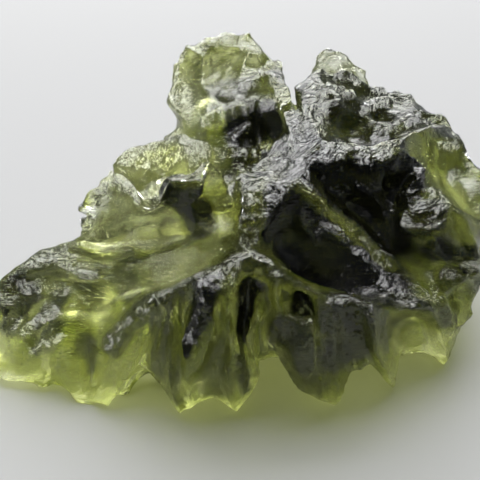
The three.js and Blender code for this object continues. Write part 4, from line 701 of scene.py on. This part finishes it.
def painted(mesh, strokes):
    """How much of each corner is in the strokes, from 0 to 1."""
    places = corner_places(mesh)
    tree = BVHTree.FromBMesh(mesh)
    most = np.zeros(len(places))
    for _, width, amount, points in strokes:
        share = 2 * (1 - gaps_to(places, line_on_stone(tree, points)) / (width * MM))
        most = np.maximum(most, amount * np.clip(share, 0, 1))
    print("painted", len(strokes), "strokes on", round(float((most > 0).mean()) * 100),
          "% of the corners")
    return most


stepped = painted(body, STEPPED)

# %% [markdown]
# ## What the acids left
#
# Three things are etched into the surface, each at its own size. Pits a few millimetres
# wide sit side by side with blunt edges between them. Flow lines, the layers of the
# glass itself, stand out as fine wrinkles. What stands proud is gnawed into small teeth
# and crumbs. All three are noise, read at each corner's own place and pushed along the
# corner's normal, so that they are true shape and catch the light from every side.
#
# What stands proud is found by comparing each corner with the same stone eased until
# its small forms are gone: crests lie outside the eased stone and hollows inside it.

# %% Noise the etching is made of
ETCH_SEED = 1                      # any fixed number: without it each run has new wrinkles

noise.seed_set(ETCH_SEED)


def pits(place, width, seed):
    """0 at the edge of a pit to 1 at its middle, for round pits side by side."""
    nearest, second = noise.voronoi(place / width + Vector((seed, 0, 0)))[0][:2]
    edge = min(1.0, (second - nearest) / 0.7)
    return edge * edge * (3 - 2 * edge)


def wrinkles(place, width, along, stretch, seed):
    """Wrinkles of a given width, drawn out along a direction, from -1 to 1."""
    flat = place - along * place.dot(along) * (1 - 1 / stretch)
    bent = flat + noise.noise_vector(place / (6 * width)) * width
    return noise.noise(bent / width + Vector((seed, seed, 0)))


def gnawed(place, width, seed):
    """A rough broken line, from -1 to 1."""
    at = place / width + Vector((0, seed, 0))
    return 0.65 * noise.noise(at) + 0.35 * noise.noise(at * 2.3)


def neighbour_mean(values, edges, ease_rounds, share=0.6):
    """Values at the corners, eased along the edges a number of times."""
    count = np.bincount(edges.ravel(), minlength=len(values))[:, None]
    for _ in range(ease_rounds):
        total = np.zeros_like(values)
        for near, far in ((0, 1), (1, 0)):
            for axis in range(values.shape[1]):
                total[:, axis] += np.bincount(edges[:, near], values[edges[:, far], axis],
                                              len(values))
        values = (1 - share) * values + share * total / count
    return values

# %% Find what stands proud
PROUD_ROUNDS = 40                  # rounds of easing that make the small forms go
PROUD_HEIGHT = 0.25 * MM           # standing out by this much counts in full

body.normal_update()
body.verts.index_update()
places = corner_places(body)
edge_ends = np.array([[v.index for v in e.verts] for e in body.edges])
eased = neighbour_mean(places, edge_ends, PROUD_ROUNDS)
outward = np.array([v.normal for v in body.verts])
proud = np.clip(((places - eased) * outward).sum(axis=1) / PROUD_HEIGHT, -1, 1)
proud = np.maximum(proud, stepped)
print("standing proud:", round(float((proud > 0.3).mean()) * 100), "% of the corners")

# %% Etch the stone
PIT_WIDTH = 2.6 * MM
PIT_DEPTH = 0.12 * MM
SMALL_PIT_WIDTH = 0.9 * MM
SMALL_PIT_DEPTH = 0.05 * MM
WRINKLE_WIDTH = 0.55 * MM
WRINKLE_DEPTH = 0.04 * MM
WRINKLE_STRETCH = 4.0
FLOW = Vector((0.86, 0.42, 0.3)).normalized()
TOOTH_WIDTH = 0.9 * MM
TOOTH_DEPTH = 0.22 * MM

for v in body.verts:
    share = max(0.0, proud[v.index])
    depth = PIT_DEPTH * pits(v.co, PIT_WIDTH, 3.1)
    depth += (0.4 + share) * SMALL_PIT_DEPTH * pits(v.co, SMALL_PIT_WIDTH, 8.6)
    depth += WRINKLE_DEPTH * wrinkles(v.co, WRINKLE_WIDTH, FLOW, WRINKLE_STRETCH, 1.7)
    depth += share * (1 - level_top[v.index]) * TOOTH_DEPTH * gnawed(v.co, TOOTH_WIDTH, 5.5)
    places[v.index] -= depth * outward[v.index]
put_corners(body, places)
print("etched", len(places), "corners")

# %% [markdown]
# ## Back inside the solid's box
#
# The solid is what rests on the table and what the sizes were taken from, so the glass
# doesn't reach past its box on any side, and the tips stay flat on the table.

# %% Hold the box
held = 0
for v in body.verts:
    inside = Vector([min(max(c, low), high) for c, low, high in zip(v.co, cad_low, cad_high)])
    held += (inside - v.co).length > 0
    v.co = inside
bmesh.ops.recalc_face_normals(body, faces=body.faces)
print("held", held, "corners inside the box")

# %% [markdown]
# ## How much glass is behind each spot
#
# Where the glass is thin it is pale, and where it is deep it is nearly black. The depth
# of glass behind each corner is measured with a few rays into the stone and kept as an
# attribute of the mesh, so that the colour can follow the stone's own shape.

# %% Measure the depth of the glass
DEEPEST = 14 * MM                  # glass deeper than this all looks the same
UNDER_THE_SKIN = 0.02 * MM         # where a ray starts, so that it misses its own facet
CONE = 0.7                         # how far the side rays lean out from the middle one
RING_TURNS = (0.3, 1.56, 2.81, 4.07, 5.33)     # of the side rays, five even turns
DEPTH_EASE_ROUNDS = 6


def depth_rays(normal):
    """The directions in which the depth is felt: straight in, and a ring round it."""
    inward = -normal
    side = inward.orthogonal().normalized()
    other = inward.cross(side)
    ring = [side * math.cos(turn) + other * math.sin(turn) for turn in RING_TURNS]
    return [inward] + [(inward + CONE * r).normalized() for r in ring]


def glass_behind(tree, v):
    """The mean depth of glass behind a corner, from 0 to 1 for the deepest."""
    start = v.co - v.normal * UNDER_THE_SKIN
    hits = [tree.ray_cast(start, ray, DEEPEST) for ray in depth_rays(v.normal)]
    felt = [hit[3] if hit[0] is not None else DEEPEST for hit in hits]
    return sum(felt) / len(felt) / DEEPEST


body.normal_update()
tree = BVHTree.FromBMesh(body)
# This measured depth later has painted shade from the strokes below laid over it, and the tint reads
# the sum.
depth_and_shade = [glass_behind(tree, v) for v in body.verts]
for _ in range(DEPTH_EASE_ROUNDS):
    depth_and_shade = [0.5 * depth_and_shade[v.index]
                + 0.5 * sum(depth_and_shade[e.other_vert(v).index] for e in v.link_edges)
                / len(v.link_edges) for v in body.verts]
depth_and_shade = np.array(depth_and_shade)
print("glass depth, mm:", [round(float(q) * DEEPEST / MM, 1)
                           for q in np.quantile(depth_and_shade, (0.05, 0.25, 0.5, 0.75, 0.95))])

# %% [markdown]
# ## What the rays can't know
#
# The hollows under the solid are rounder and fewer than those of a real stone, so the measured depth is
# only roughly right. Where a part of such a stone is plainly thin or plainly deep, the depth is set
# with strokes like the carver's, in millimetres of glass. The same strokes also paint shade into the
# tint. Scoops, caves, niches, panes and the shade in the channel are dark because they lie in shade or
# mirror the dim room, and they are given deep glass so that their tint turns near black.
# Light that enters a thin fin or lobe also leaves it through a far face, which has a tint
# of its own, so some strokes lie a few millimetres behind the face that is drawn on.

# %% Set the depth, and paint shade, with strokes
# The mm of glass in these strokes is partly the real depth and partly painted shade: the deep values
# make shaded places near black.
DEPTH_AND_PAINTED_SHADE = [                  # (name, mm of glass, width mm, points of the view)
    ("scoop of the fin", 0.5, 3.2, [(104, 224), (126, 214), (150, 216), (160, 232)]),
    ("scoop right of the fin", 3.0, 2.0, [(222, 194), (228, 212), (222, 232)]),
    ("channel", 3.4, 2.4, [(214, 246), (194, 262), (168, 271), (140, 284), (110, 294),
                           (84, 314), (64, 332)]),
    ("shade in the channel", 8.0, 1.4, [(112, 266), (124, 280), (132, 292)]),
    ("leg", 2.4, 2.2, [(142, 334), (126, 364), (108, 392)]),
    ("wing", 5.2, 3.2, [(420, 160), (440, 164), (460, 180)]),
    ("foot of the wing", 3.6, 2.2, [(420, 186), (444, 196), (470, 206)]),
    ("window", 1.4, 2.8, [(400, 336), (420, 340), (440, 346)]),
    ("back lobe", 3.0, 4.5, [(188, 62), (214, 50), (246, 50)]),
    ("left side of the back lobe", 1.8, 3.4, [(184, 100), (190, 126)]),
    ("yellow band", 2.6, 1.6, [(211, 112), (216, 132), (213, 156)]),
    ("left lobe", 0.1, 5.5, [(130, 160), (160, 152), (190, 156)]),
    ("far lobe", 0.6, 4.5, [(330, 60), (350, 66)]),
    ("olive slope", 7.0, 2.4, [(384, 262), (406, 257), (420, 270)]),
    ("cave under the plate", 13.0, 1.5, [(434, 249), (452, 250), (466, 256)]),
    ("below the low rib", 13.0, 1.2, [(450, 292), (464, 298)]),
    ("right side", 6.0, 2.2, [(454, 216), (470, 232)]),
    ("right side, low", 6.5, 2.0, [(428, 284), (452, 292), (462, 310)]),
    ("wedge of the fin", 13.0, 1.6, [(174, 194), (194, 194), (186, 206), (198, 212), (202, 226)]),
    ("great bowl", 14.0, 3.4, [(276, 214), (292, 222), (304, 244), (322, 262), (350, 272), (382, 280)]),
    ("block", 14.0, 3.6, [(318, 180), (345, 184), (374, 190), (398, 182)]),
    ("under the wing's rib", 14.0, 1.8, [(404, 176), (404, 200)]),
    ("foot of the block", 14.0, 2.8, [(334, 198), (352, 212), (370, 226), (392, 236)]),
    ("low rib", 10.0, 1.4, [(446, 278), (460, 271), (474, 264)]),
    ("plate", 11.0, 2.0, [(414, 220), (434, 216)]),
    ("pit", 14.0, 2.6, [(244, 130), (268, 122)]),
    ("knobs behind the block", 11.0, 2.6, [(334, 110), (356, 120), (388, 114)]),
    ("back rim", 9.0, 2.0, [(330, 80), (346, 80), (380, 90), (402, 98)]),
    ("long ridge", 8.3, 0.7, [(306, 192), (326, 210), (344, 225), (360, 238), (376, 254),
                              (392, 268)]),
    ("nose", 9.0, 1.7, [(250, 186), (248, 222)]),
    ("brow", 10.0, 1.5, [(236, 268), (200, 284), (166, 300), (136, 314), (112, 344)]),
    ("brow, right", 9.0, 1.3, [(258, 266), (282, 276), (304, 288)]),
    ("lip right of the brow", 11.0, 1.3, [(330, 298), (352, 302), (372, 302)]),
    ("edge above the window", 12.0, 1.0, [(384, 300), (404, 302), (428, 308)]),
    ("foot of the brow", 10.0, 1.3, [(88, 344), (84, 366)]),
    ("blade", 13.5, 1.5, [(203, 290), (198, 318), (190, 346)]),
    ("fringe left of the blade", 9.0, 1.7, [(164, 334), (166, 370), (176, 396)]),
    ("fringe right of the blade", 9.0, 2.0, [(214, 352), (216, 384)]),
    ("rib under the blade", 6.5, 0.7, [(218, 322), (204, 344), (192, 370), (182, 394)]),
    ("green rib", 5.5, 0.9, [(232, 284), (226, 304), (226, 326)]),
    ("dark pane", 14.0, 1.4, [(250, 284), (248, 304), (246, 330)]),
    ("oval fold", 6.0, 1.0, [(262, 318), (258, 348)]),
    ("between the folds", 12.0, 0.7, [(240, 344), (244, 364), (246, 390)]),
    ("light pane", 6.5, 0.9, [(285, 286), (286, 310)]),
    ("dark niche", 14.0, 1.3, [(302, 294), (302, 312)]),
    ("tongue", 12.2, 2.2, [(286, 334), (298, 346), (304, 366)]),
    ("tip of the tongue", 8.0, 1.2, [(296, 384), (310, 388)]),
    ("great rib", 7.5, 0.7, [(320, 300), (320, 340), (322, 380)]),
    ("pane right of the great rib", 12.2, 2.3, [(338, 316), (352, 312), (352, 344), (338, 350)]),
    ("foot of the pane", 7.0, 1.4, [(344, 382), (380, 378)]),
    ("root of the arm", 12.0, 2.0, [(20, 288), (30, 310)]),
    ("arm", 8.0, 2.4, [(44, 322), (34, 346)]),
    ("arm's crest", 8.5, 1.6, [(40, 270), (64, 268), (86, 276)]),
    ("dark of the arm's tip", 10.5, 1.4, [(8, 296), (14, 312), (10, 326)]),
    ("dark of the arm", 11.0, 1.0, [(62, 296), (50, 310), (44, 326)]),
    ("tip of the arm", 4.5, 2.0, [(4, 352), (16, 356)]),
    ("arm, low", 4.0, 2.2, [(44, 374), (66, 372)]),
]

BEHIND = [               # (name, mm behind the face, mm of glass, width mm, points)
    ("behind the fin", 4.0, 0.4, 4.5, [(110, 222), (140, 214), (170, 210)]),
    ("far behind the fin", 9.0, 0.5, 5.0, [(110, 224), (134, 216), (160, 210)]),
    ("at the back of the fin", 13.0, 0.7, 5.0, [(110, 224), (134, 218), (160, 212)]),
    ("behind the left lobe", 4.0, 0.1, 5.0, [(136, 160), (164, 154), (190, 158)]),
    ("behind the back lobe", 4.0, 1.5, 4.5, [(196, 60), (226, 56), (250, 60)]),
    ("under the channel", 4.0, 2.6, 3.0, [(190, 262), (150, 280), (110, 296)]),
    ("under the wing", 4.0, 3.0, 3.0, [(430, 170), (456, 184)]),
]
STROKE_EDGE = 3                    # above 1, a stroke is even in its middle and ends late

places = corner_places(body)
strokes = [(width, glass_mm, line_on_stone(tree, points, behind * MM))
           for _, behind, glass_mm, width, points in BEHIND]
strokes += [(width, glass_mm, line_on_stone(tree, points))
            for _, glass_mm, width, points in DEPTH_AND_PAINTED_SHADE]
for width, glass_mm, line in strokes:
    pull = np.clip(STROKE_EDGE * (1 - gaps_to(places, line) / (width * MM)), 0, 1)
    depth_and_shade += pull * (glass_mm * MM / DEEPEST - depth_and_shade)
print("depth set with", len(strokes), "strokes")

# %% [markdown]
# ## The piece
#
# The mesh becomes one object at the origin, in place of the solid. Three values go with it, one number
# at each corner, for the material to read: how deep the glass is, with painted shade laid over it by
# the strokes, how worn the edge is, and how much it is stepped. They are kept on the mesh because they
# follow the shape, which no pattern of noise could do.

# %% Make the piece
# The first value is the depth of glass with painted shade from the strokes added to it.
CORNER_VALUES = {"glass_depth_and_shade": depth_and_shade, "worn_edge": np.clip(proud, 0, 1),
                 "fine_steps": stepped}

stone_mesh = bpy.data.meshes.new("moldavite_stone")
body.to_mesh(stone_mesh)
body.free()
for name, values in CORNER_VALUES.items():
    kept = stone_mesh.attributes.new(name, "FLOAT", "POINT")
    kept.data.foreach_set("value", values.astype(np.float32))
stone_mesh.shade_smooth()
stone = bpy.data.objects.new("moldavite_stone", stone_mesh)
bpy.context.scene.collection.objects.link(stone)
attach(stone, "root")
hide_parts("stone")
print("stone:", len(stone_mesh.polygons), "facets")

# %% [markdown]
# ## The glass
#
# Moldavite is clear. Its colour isn't on the surface: light is swallowed on its way through, blue
# first, then red, and green last. An absorption inside plain clear glass makes that by itself, and some
# of it is made that way here. The rest is a tint that light takes on each time it passes a face. It
# follows the depth measured above and the painted shade set over it with strokes, because absorption
# alone would show every guess about the hidden hollows underneath.
#
# A lamp can't be found by light that bends in glass without very many samples, and the
# table under the stone would be black. So where a ray only asks whether a lamp is in
# reach, the glass answers as a thin green film. That is what throws the green glow.

# %% The body of the glass
GLASS_IOR = 1.49
ABSORB_COLOUR = (0.60, 0.61, 0.30, 1.0)
ABSORB_DENSITY = 80.0
LAMP_TINT = (0.64, 0.66, 0.46, 1.0)    # what one face of the glass does to a lamp's light

glass = bpy.data.materials.new("moldavite_glass")
glass.use_nodes = True
nodes, links = glass.node_tree.nodes, glass.node_tree.links
surface = nodes["Principled BSDF"]
surface.inputs["Transmission Weight"].default_value = 1.0
surface.inputs["IOR"].default_value = GLASS_IOR
absorb = nodes.new("ShaderNodeVolumeAbsorption")
absorb.inputs["Color"].default_value = ABSORB_COLOUR
absorb.inputs["Density"].default_value = ABSORB_DENSITY
links.new(absorb.outputs["Volume"], nodes["Material Output"].inputs["Volume"])

lamp_film = nodes.new("ShaderNodeBsdfTransparent")
lamp_film.inputs["Color"].default_value = LAMP_TINT
ray_kind = nodes.new("ShaderNodeLightPath")
glass_or_film = nodes.new("ShaderNodeMixShader")
links.new(ray_kind.outputs["Is Shadow Ray"], glass_or_film.inputs["Fac"])
links.new(surface.outputs["BSDF"], glass_or_film.inputs[1])
links.new(lamp_film.outputs["BSDF"], glass_or_film.inputs[2])
links.new(glass_or_film.outputs["Shader"], nodes["Material Output"].inputs["Surface"])
print("clear glass, IOR", GLASS_IOR)

# %% Small tools for the nodes
def noise_node(place, scale, detail, rough):
    """A noise texture on the piece's own coordinates; scale is in features a metre."""
    made = nodes.new("ShaderNodeTexNoise")
    made.inputs["Scale"].default_value = scale
    made.inputs["Detail"].default_value = detail
    made.inputs["Roughness"].default_value = rough
    links.new(place, made.inputs["Vector"])
    return made.outputs["Fac"]


def cell_node(place, scale):
    """A pattern of small cells, one height for each."""
    made = nodes.new("ShaderNodeTexVoronoi")
    made.inputs["Scale"].default_value = scale
    links.new(place, made.inputs["Vector"])
    return made.outputs["Distance"]


def bump_node(height, strength, distance, under=None):
    """A bump that adds one height pattern to what is under it."""
    made = nodes.new("ShaderNodeBump")
    made.inputs["Strength"].default_value = strength
    made.inputs["Distance"].default_value = distance
    links.new(height, made.inputs["Height"])
    if under:
        links.new(under, made.inputs["Normal"])
    return made.outputs["Normal"]


def times(a, b):
    """One value times another."""
    made = nodes.new("ShaderNodeMath")
    made.operation = "MULTIPLY"
    links.new(a, made.inputs[0])
    links.new(b, made.inputs[1])
    return made.outputs["Value"]


def attribute(name):
    """A value kept at the corners of the stone."""
    made = nodes.new("ShaderNodeAttribute")
    made.attribute_name = name
    return made.outputs["Fac"]


def sums(*values):
    """Several values added up."""
    total = values[0]
    for value in values[1:]:
        made = nodes.new("ShaderNodeMath")
        made.operation = "ADD"
        links.new(total, made.inputs[0])
        links.new(value, made.inputs[1])
        total = made.outputs["Value"]
    return total


def saw(value):
    """The part of a value after the point: a row of even teeth."""
    made = nodes.new("ShaderNodeMath")
    made.operation = "FRACT"
    links.new(value, made.inputs[0])
    return made.outputs["Value"]


def ramp(value, stops):
    """A colour ramp with the given (position, colour) stops."""
    made = nodes.new("ShaderNodeValToRGB")
    elements = made.color_ramp.elements
    while len(elements) < len(stops):
        elements.new(0.5)
    for element, (position, colour) in zip(elements, stops):
        element.position = position
        element.color = (*colour, 1)
    links.new(value, made.inputs["Fac"])
    return made.outputs["Color"]


def remap(value, from_low, from_high, to_low, to_high):
    """A value taken from one range to another."""
    made = nodes.new("ShaderNodeMapRange")
    for name, number in (("From Min", from_low), ("From Max", from_high),
                         ("To Min", to_low), ("To Max", to_high)):
        made.inputs[name].default_value = number
    links.new(value, made.inputs["Value"])
    return made.outputs["Result"]


def stretched(place, scale, turn=(0, 0, 0)):
    """A place turned, then drawn out or squeezed along each axis."""
    made = nodes.new("ShaderNodeMapping")
    made.inputs["Rotation"].default_value = turn
    made.inputs["Scale"].default_value = scale
    links.new(place, made.inputs["Vector"])
    return made.outputs["Vector"]


print("node helpers ready")

# %% [markdown]
# ## The etched skin
#
# Wrinkles and crumbs finer than a third of a millimetre are too small for the mesh, so
# they are bumps, each a pattern on the stone's own coordinates. Two are drawn out along
# the way the melt flowed, as strands in pulled sugar are. One is an even orange peel, and
# two, cells and grain, are held to the worn edges, where the glass is bruised.

# %% Wrinkles, strands and crumbs
FLOW_TURN = (math.radians(-14), math.radians(-17), math.radians(26))
WRINKLE_DRAW = (0.25, 1.0, 1.0)        # along the flow a wrinkle is four times as long
STRAND_DRAW = (0.3, 1.0, 1.0)          # and a strand is longer still

place = nodes.new("ShaderNodeTexCoord").outputs["Object"]
worn = attribute("worn_edge")
along_flow = stretched(place, WRINKLE_DRAW, FLOW_TURN)
strands = noise_node(stretched(along_flow, STRAND_DRAW), 4600, 3, 0.7)
wrinkled = noise_node(along_flow, 3600, 3, 0.6)
peel = noise_node(place, 3800, 2, 0.5)
crumbs = times(cell_node(place, 2400), worn)
grain = times(noise_node(place, 7000, 2, 0.6), worn)

normal = None
for height, strength, high_mm in ((wrinkled, 0.9, 0.12), (peel, 0.4, 0.04), (strands, 0.4, 0.06),
                                  (crumbs, 0.8, 0.08), (grain, 0.8, 0.05)):
    normal = bump_node(height, strength, high_mm * MM, normal)
print("five bumps on the skin")

# %% [markdown]
# ## The fine steps
#
# A stair seen from far off is a slope, and yet its treads still mirror what is above. So
# the steps are a bump shaped like the teeth of a saw: counted off along the layers, each
# falls towards the next by more than the slope under it rises, which tips the treads
# level on nearly any slope. They wander a little, since the layers aren't flat, and noise
# eats into the edge of the painted places, so that no stroke's shape can be seen.

# %% Steps along the layers
STEP_HEIGHT = 0.25 * MM
STEP_SLOPE = 1.6                   # how far a step leans back over the slope it is on
STEP_BEND = 1.0                    # how far the steps wander, in steps
RAGGED = 0.55                      # how much the painted places' edges are eaten
STEPPED_FROM = (0.30, 0.45)        # of the painted value, where steps begin and are full

layer_height = nodes.new("ShaderNodeVectorMath")
layer_height.operation = "DOT_PRODUCT"
layer_height.inputs[1].default_value = LAYERS
links.new(place, layer_height.inputs[0])
counted = sums(remap(layer_height.outputs["Value"], 0, 1, 0, 1 / STEP_HEIGHT),
               remap(noise_node(place, 1400, 3, 0.6), 0, 1, 0, STEP_BEND))
treads = remap(saw(counted), 0, 1, 1, 0)
edge_noise = remap(noise_node(place, 1500, 3, 0.7), 0.3, 0.7, -RAGGED, RAGGED)
stepped_here = remap(sums(attribute("fine_steps"), edge_noise), *STEPPED_FROM, 0, 1)
normal = bump_node(times(treads, stepped_here), 1.0, STEP_SLOPE * STEP_HEIGHT, normal)
links.new(normal, surface.inputs["Normal"])
print("steps of", STEP_HEIGHT / MM, "mm")

# %% [markdown]
# ## The tint
#
# The ramp goes from nearly clear glass through yellow green and bottle green to black, and its dark end
# also shows the painted shade that the strokes set.
# The strands of the melt differ a little in colour, and fine specks are darker, so both shift the depth
# that the ramp reads. One even hue would look like dyed plastic.

# %% Tint by depth and painted shade
TINTS = [                          # (depth, as a share of the deepest, and its colour)
    (0.03, (0.98, 1.0, 0.92)),
    (0.11, (0.91, 0.94, 0.68)),
    (0.22, (0.74, 0.80, 0.31)),
    (0.36, (0.42, 0.47, 0.14)),
    (0.57, (0.14, 0.15, 0.08)),
    (0.79, (0.030, 0.032, 0.022)),
    (0.95, (0.0006, 0.0006, 0.0006)),
]

streaks = remap(strands, 0.3, 0.7, -0.09, 0.06)
dark_specks = remap(noise_node(place, 9000, 2, 0.6), 0.5, 0.75, 0.0, 0.09)
# The value read here is the depth of glass with painted shade from the strokes added.
tint = ramp(sums(attribute("glass_depth_and_shade"), streaks, dark_specks), TINTS)
links.new(tint, surface.inputs["Base Color"])
print(len(TINTS), "tints")

# %% [markdown]
# ## The gloss
#
# Acid leaves the hollows a little duller than the worn edges, and no two patches shine
# quite alike. One roughness would give every top the same silver, so it goes from hollow
# to edge with the worn value, and a broad noise makes it uneven.

# %% Gloss
HOLLOW_ROUGHNESS = 0.15
WORN_ROUGHNESS = 0.12

uneven = remap(noise_node(place, 420, 2, 0.6), 0.35, 0.65, 0.75, 1.25)
gloss = times(remap(worn, 0.0, 1.0, HOLLOW_ROUGHNESS, WORN_ROUGHNESS), uneven)
links.new(gloss, surface.inputs["Roughness"])
stone.data.materials.append(glass)
print("glass has", len(nodes), "nodes")

# %% [markdown]
# ## Floor and light
#
# The stone lies on a plain pale table. The light is a broad soft window behind it: its
# low part shines through the thin glass, and its upper part runs white along every level
# top. That upper part is a light of its own, so that its strength can be set without
# changing the glow. The side of the camera is left dim, so the deep scoops that mirror
# it stay dark. Bare lamps would give hard sparks instead of silver.

# %% Floor
FLOOR_HALF = 0.6

sheet = bmesh.new()
bmesh.ops.create_grid(sheet, x_segments=1, y_segments=1, size=FLOOR_HALF)
floor_mesh = bpy.data.meshes.new("floor")
sheet.to_mesh(floor_mesh)
sheet.free()
floor = bpy.data.objects.new("floor", floor_mesh)
bpy.context.scene.collection.objects.link(floor)

paper = bpy.data.materials.new("pale_floor")
paper.use_nodes = True
paper_surface = paper.node_tree.nodes["Principled BSDF"]
paper_surface.inputs["Base Color"].default_value = (0.25, 0.25, 0.25, 1)
paper_surface.inputs["Roughness"].default_value = 0.9
paper_surface.inputs["Specular IOR Level"].default_value = 0.2
floor.data.materials.append(paper)
print("floor is", 2 * FLOOR_HALF, "m wide")

# %% The window
LIT_SPOT = Vector((0, 0, 0.01))


def soft_light(name, place, size, power):
    """A soft rectangular light that looks at the stone."""
    light = bpy.data.lights.new(name, "AREA")
    light.shape = "RECTANGLE"
    light.size, light.size_y = size
    light.energy = power
    made = bpy.data.objects.new(name, light)
    made.location = place
    made.rotation_euler = (LIT_SPOT - Vector(place)).to_track_quat("-Z", "Y").to_euler()
    bpy.context.scene.collection.objects.link(made)
    print(name, "at", place, "gives", power, "W")


soft_light("window", (-0.12, 0.88, 0.80), (1.30, 1.10), 38.0)
soft_light("top of the window", (-0.05, 0.30, 1.05), (0.90, 0.50), 15.0)

# %% The room
DIM_SIDE = (0.08, 0.088, 0.10, 1)      # behind the camera
PALE_SIDE = (0.42, 0.45, 0.48, 1)      # behind the stone

room = bpy.data.worlds.new("room")
room.use_nodes = True
room_nodes, room_links = room.node_tree.nodes, room.node_tree.links
direction = room_nodes.new("ShaderNodeTexCoord")
parts = room_nodes.new("ShaderNodeSeparateXYZ")
front_to_back = room_nodes.new("ShaderNodeMapRange")
front_to_back.inputs["From Min"].default_value = -1.0
walls = room_nodes.new("ShaderNodeValToRGB")
for element, position, colour in zip(walls.color_ramp.elements, (0.30, 0.75),
                                     (DIM_SIDE, PALE_SIDE)):
    element.position = position
    element.color = colour
room_links.new(direction.outputs["Generated"], parts.inputs["Vector"])
room_links.new(parts.outputs["Y"], front_to_back.inputs["Value"])
room_links.new(front_to_back.outputs["Result"], walls.inputs["Fac"])
room_links.new(walls.outputs["Color"], room_nodes["Background"].inputs["Color"])
bpy.context.scene.world = room
bpy.context.scene.view_settings.view_transform = "Standard"
print("room is pale behind the stone and dim in front")

# %% [markdown]
# ## Long ways through the glass
#
# A ray that enters a stone like this passes many ribs and turns back inside several
# times. With the usual limits it would be cut off and leave black patches.

# %% Let light pass through many faces of glass
LIGHT_TURNS = 24
LIGHT_MIRRORS = 12

light_paths = bpy.context.scene.cycles
light_paths.max_bounces = LIGHT_TURNS
light_paths.transmission_bounces = LIGHT_TURNS
light_paths.glossy_bounces = LIGHT_MIRRORS
print("light may turn", LIGHT_TURNS, "times")
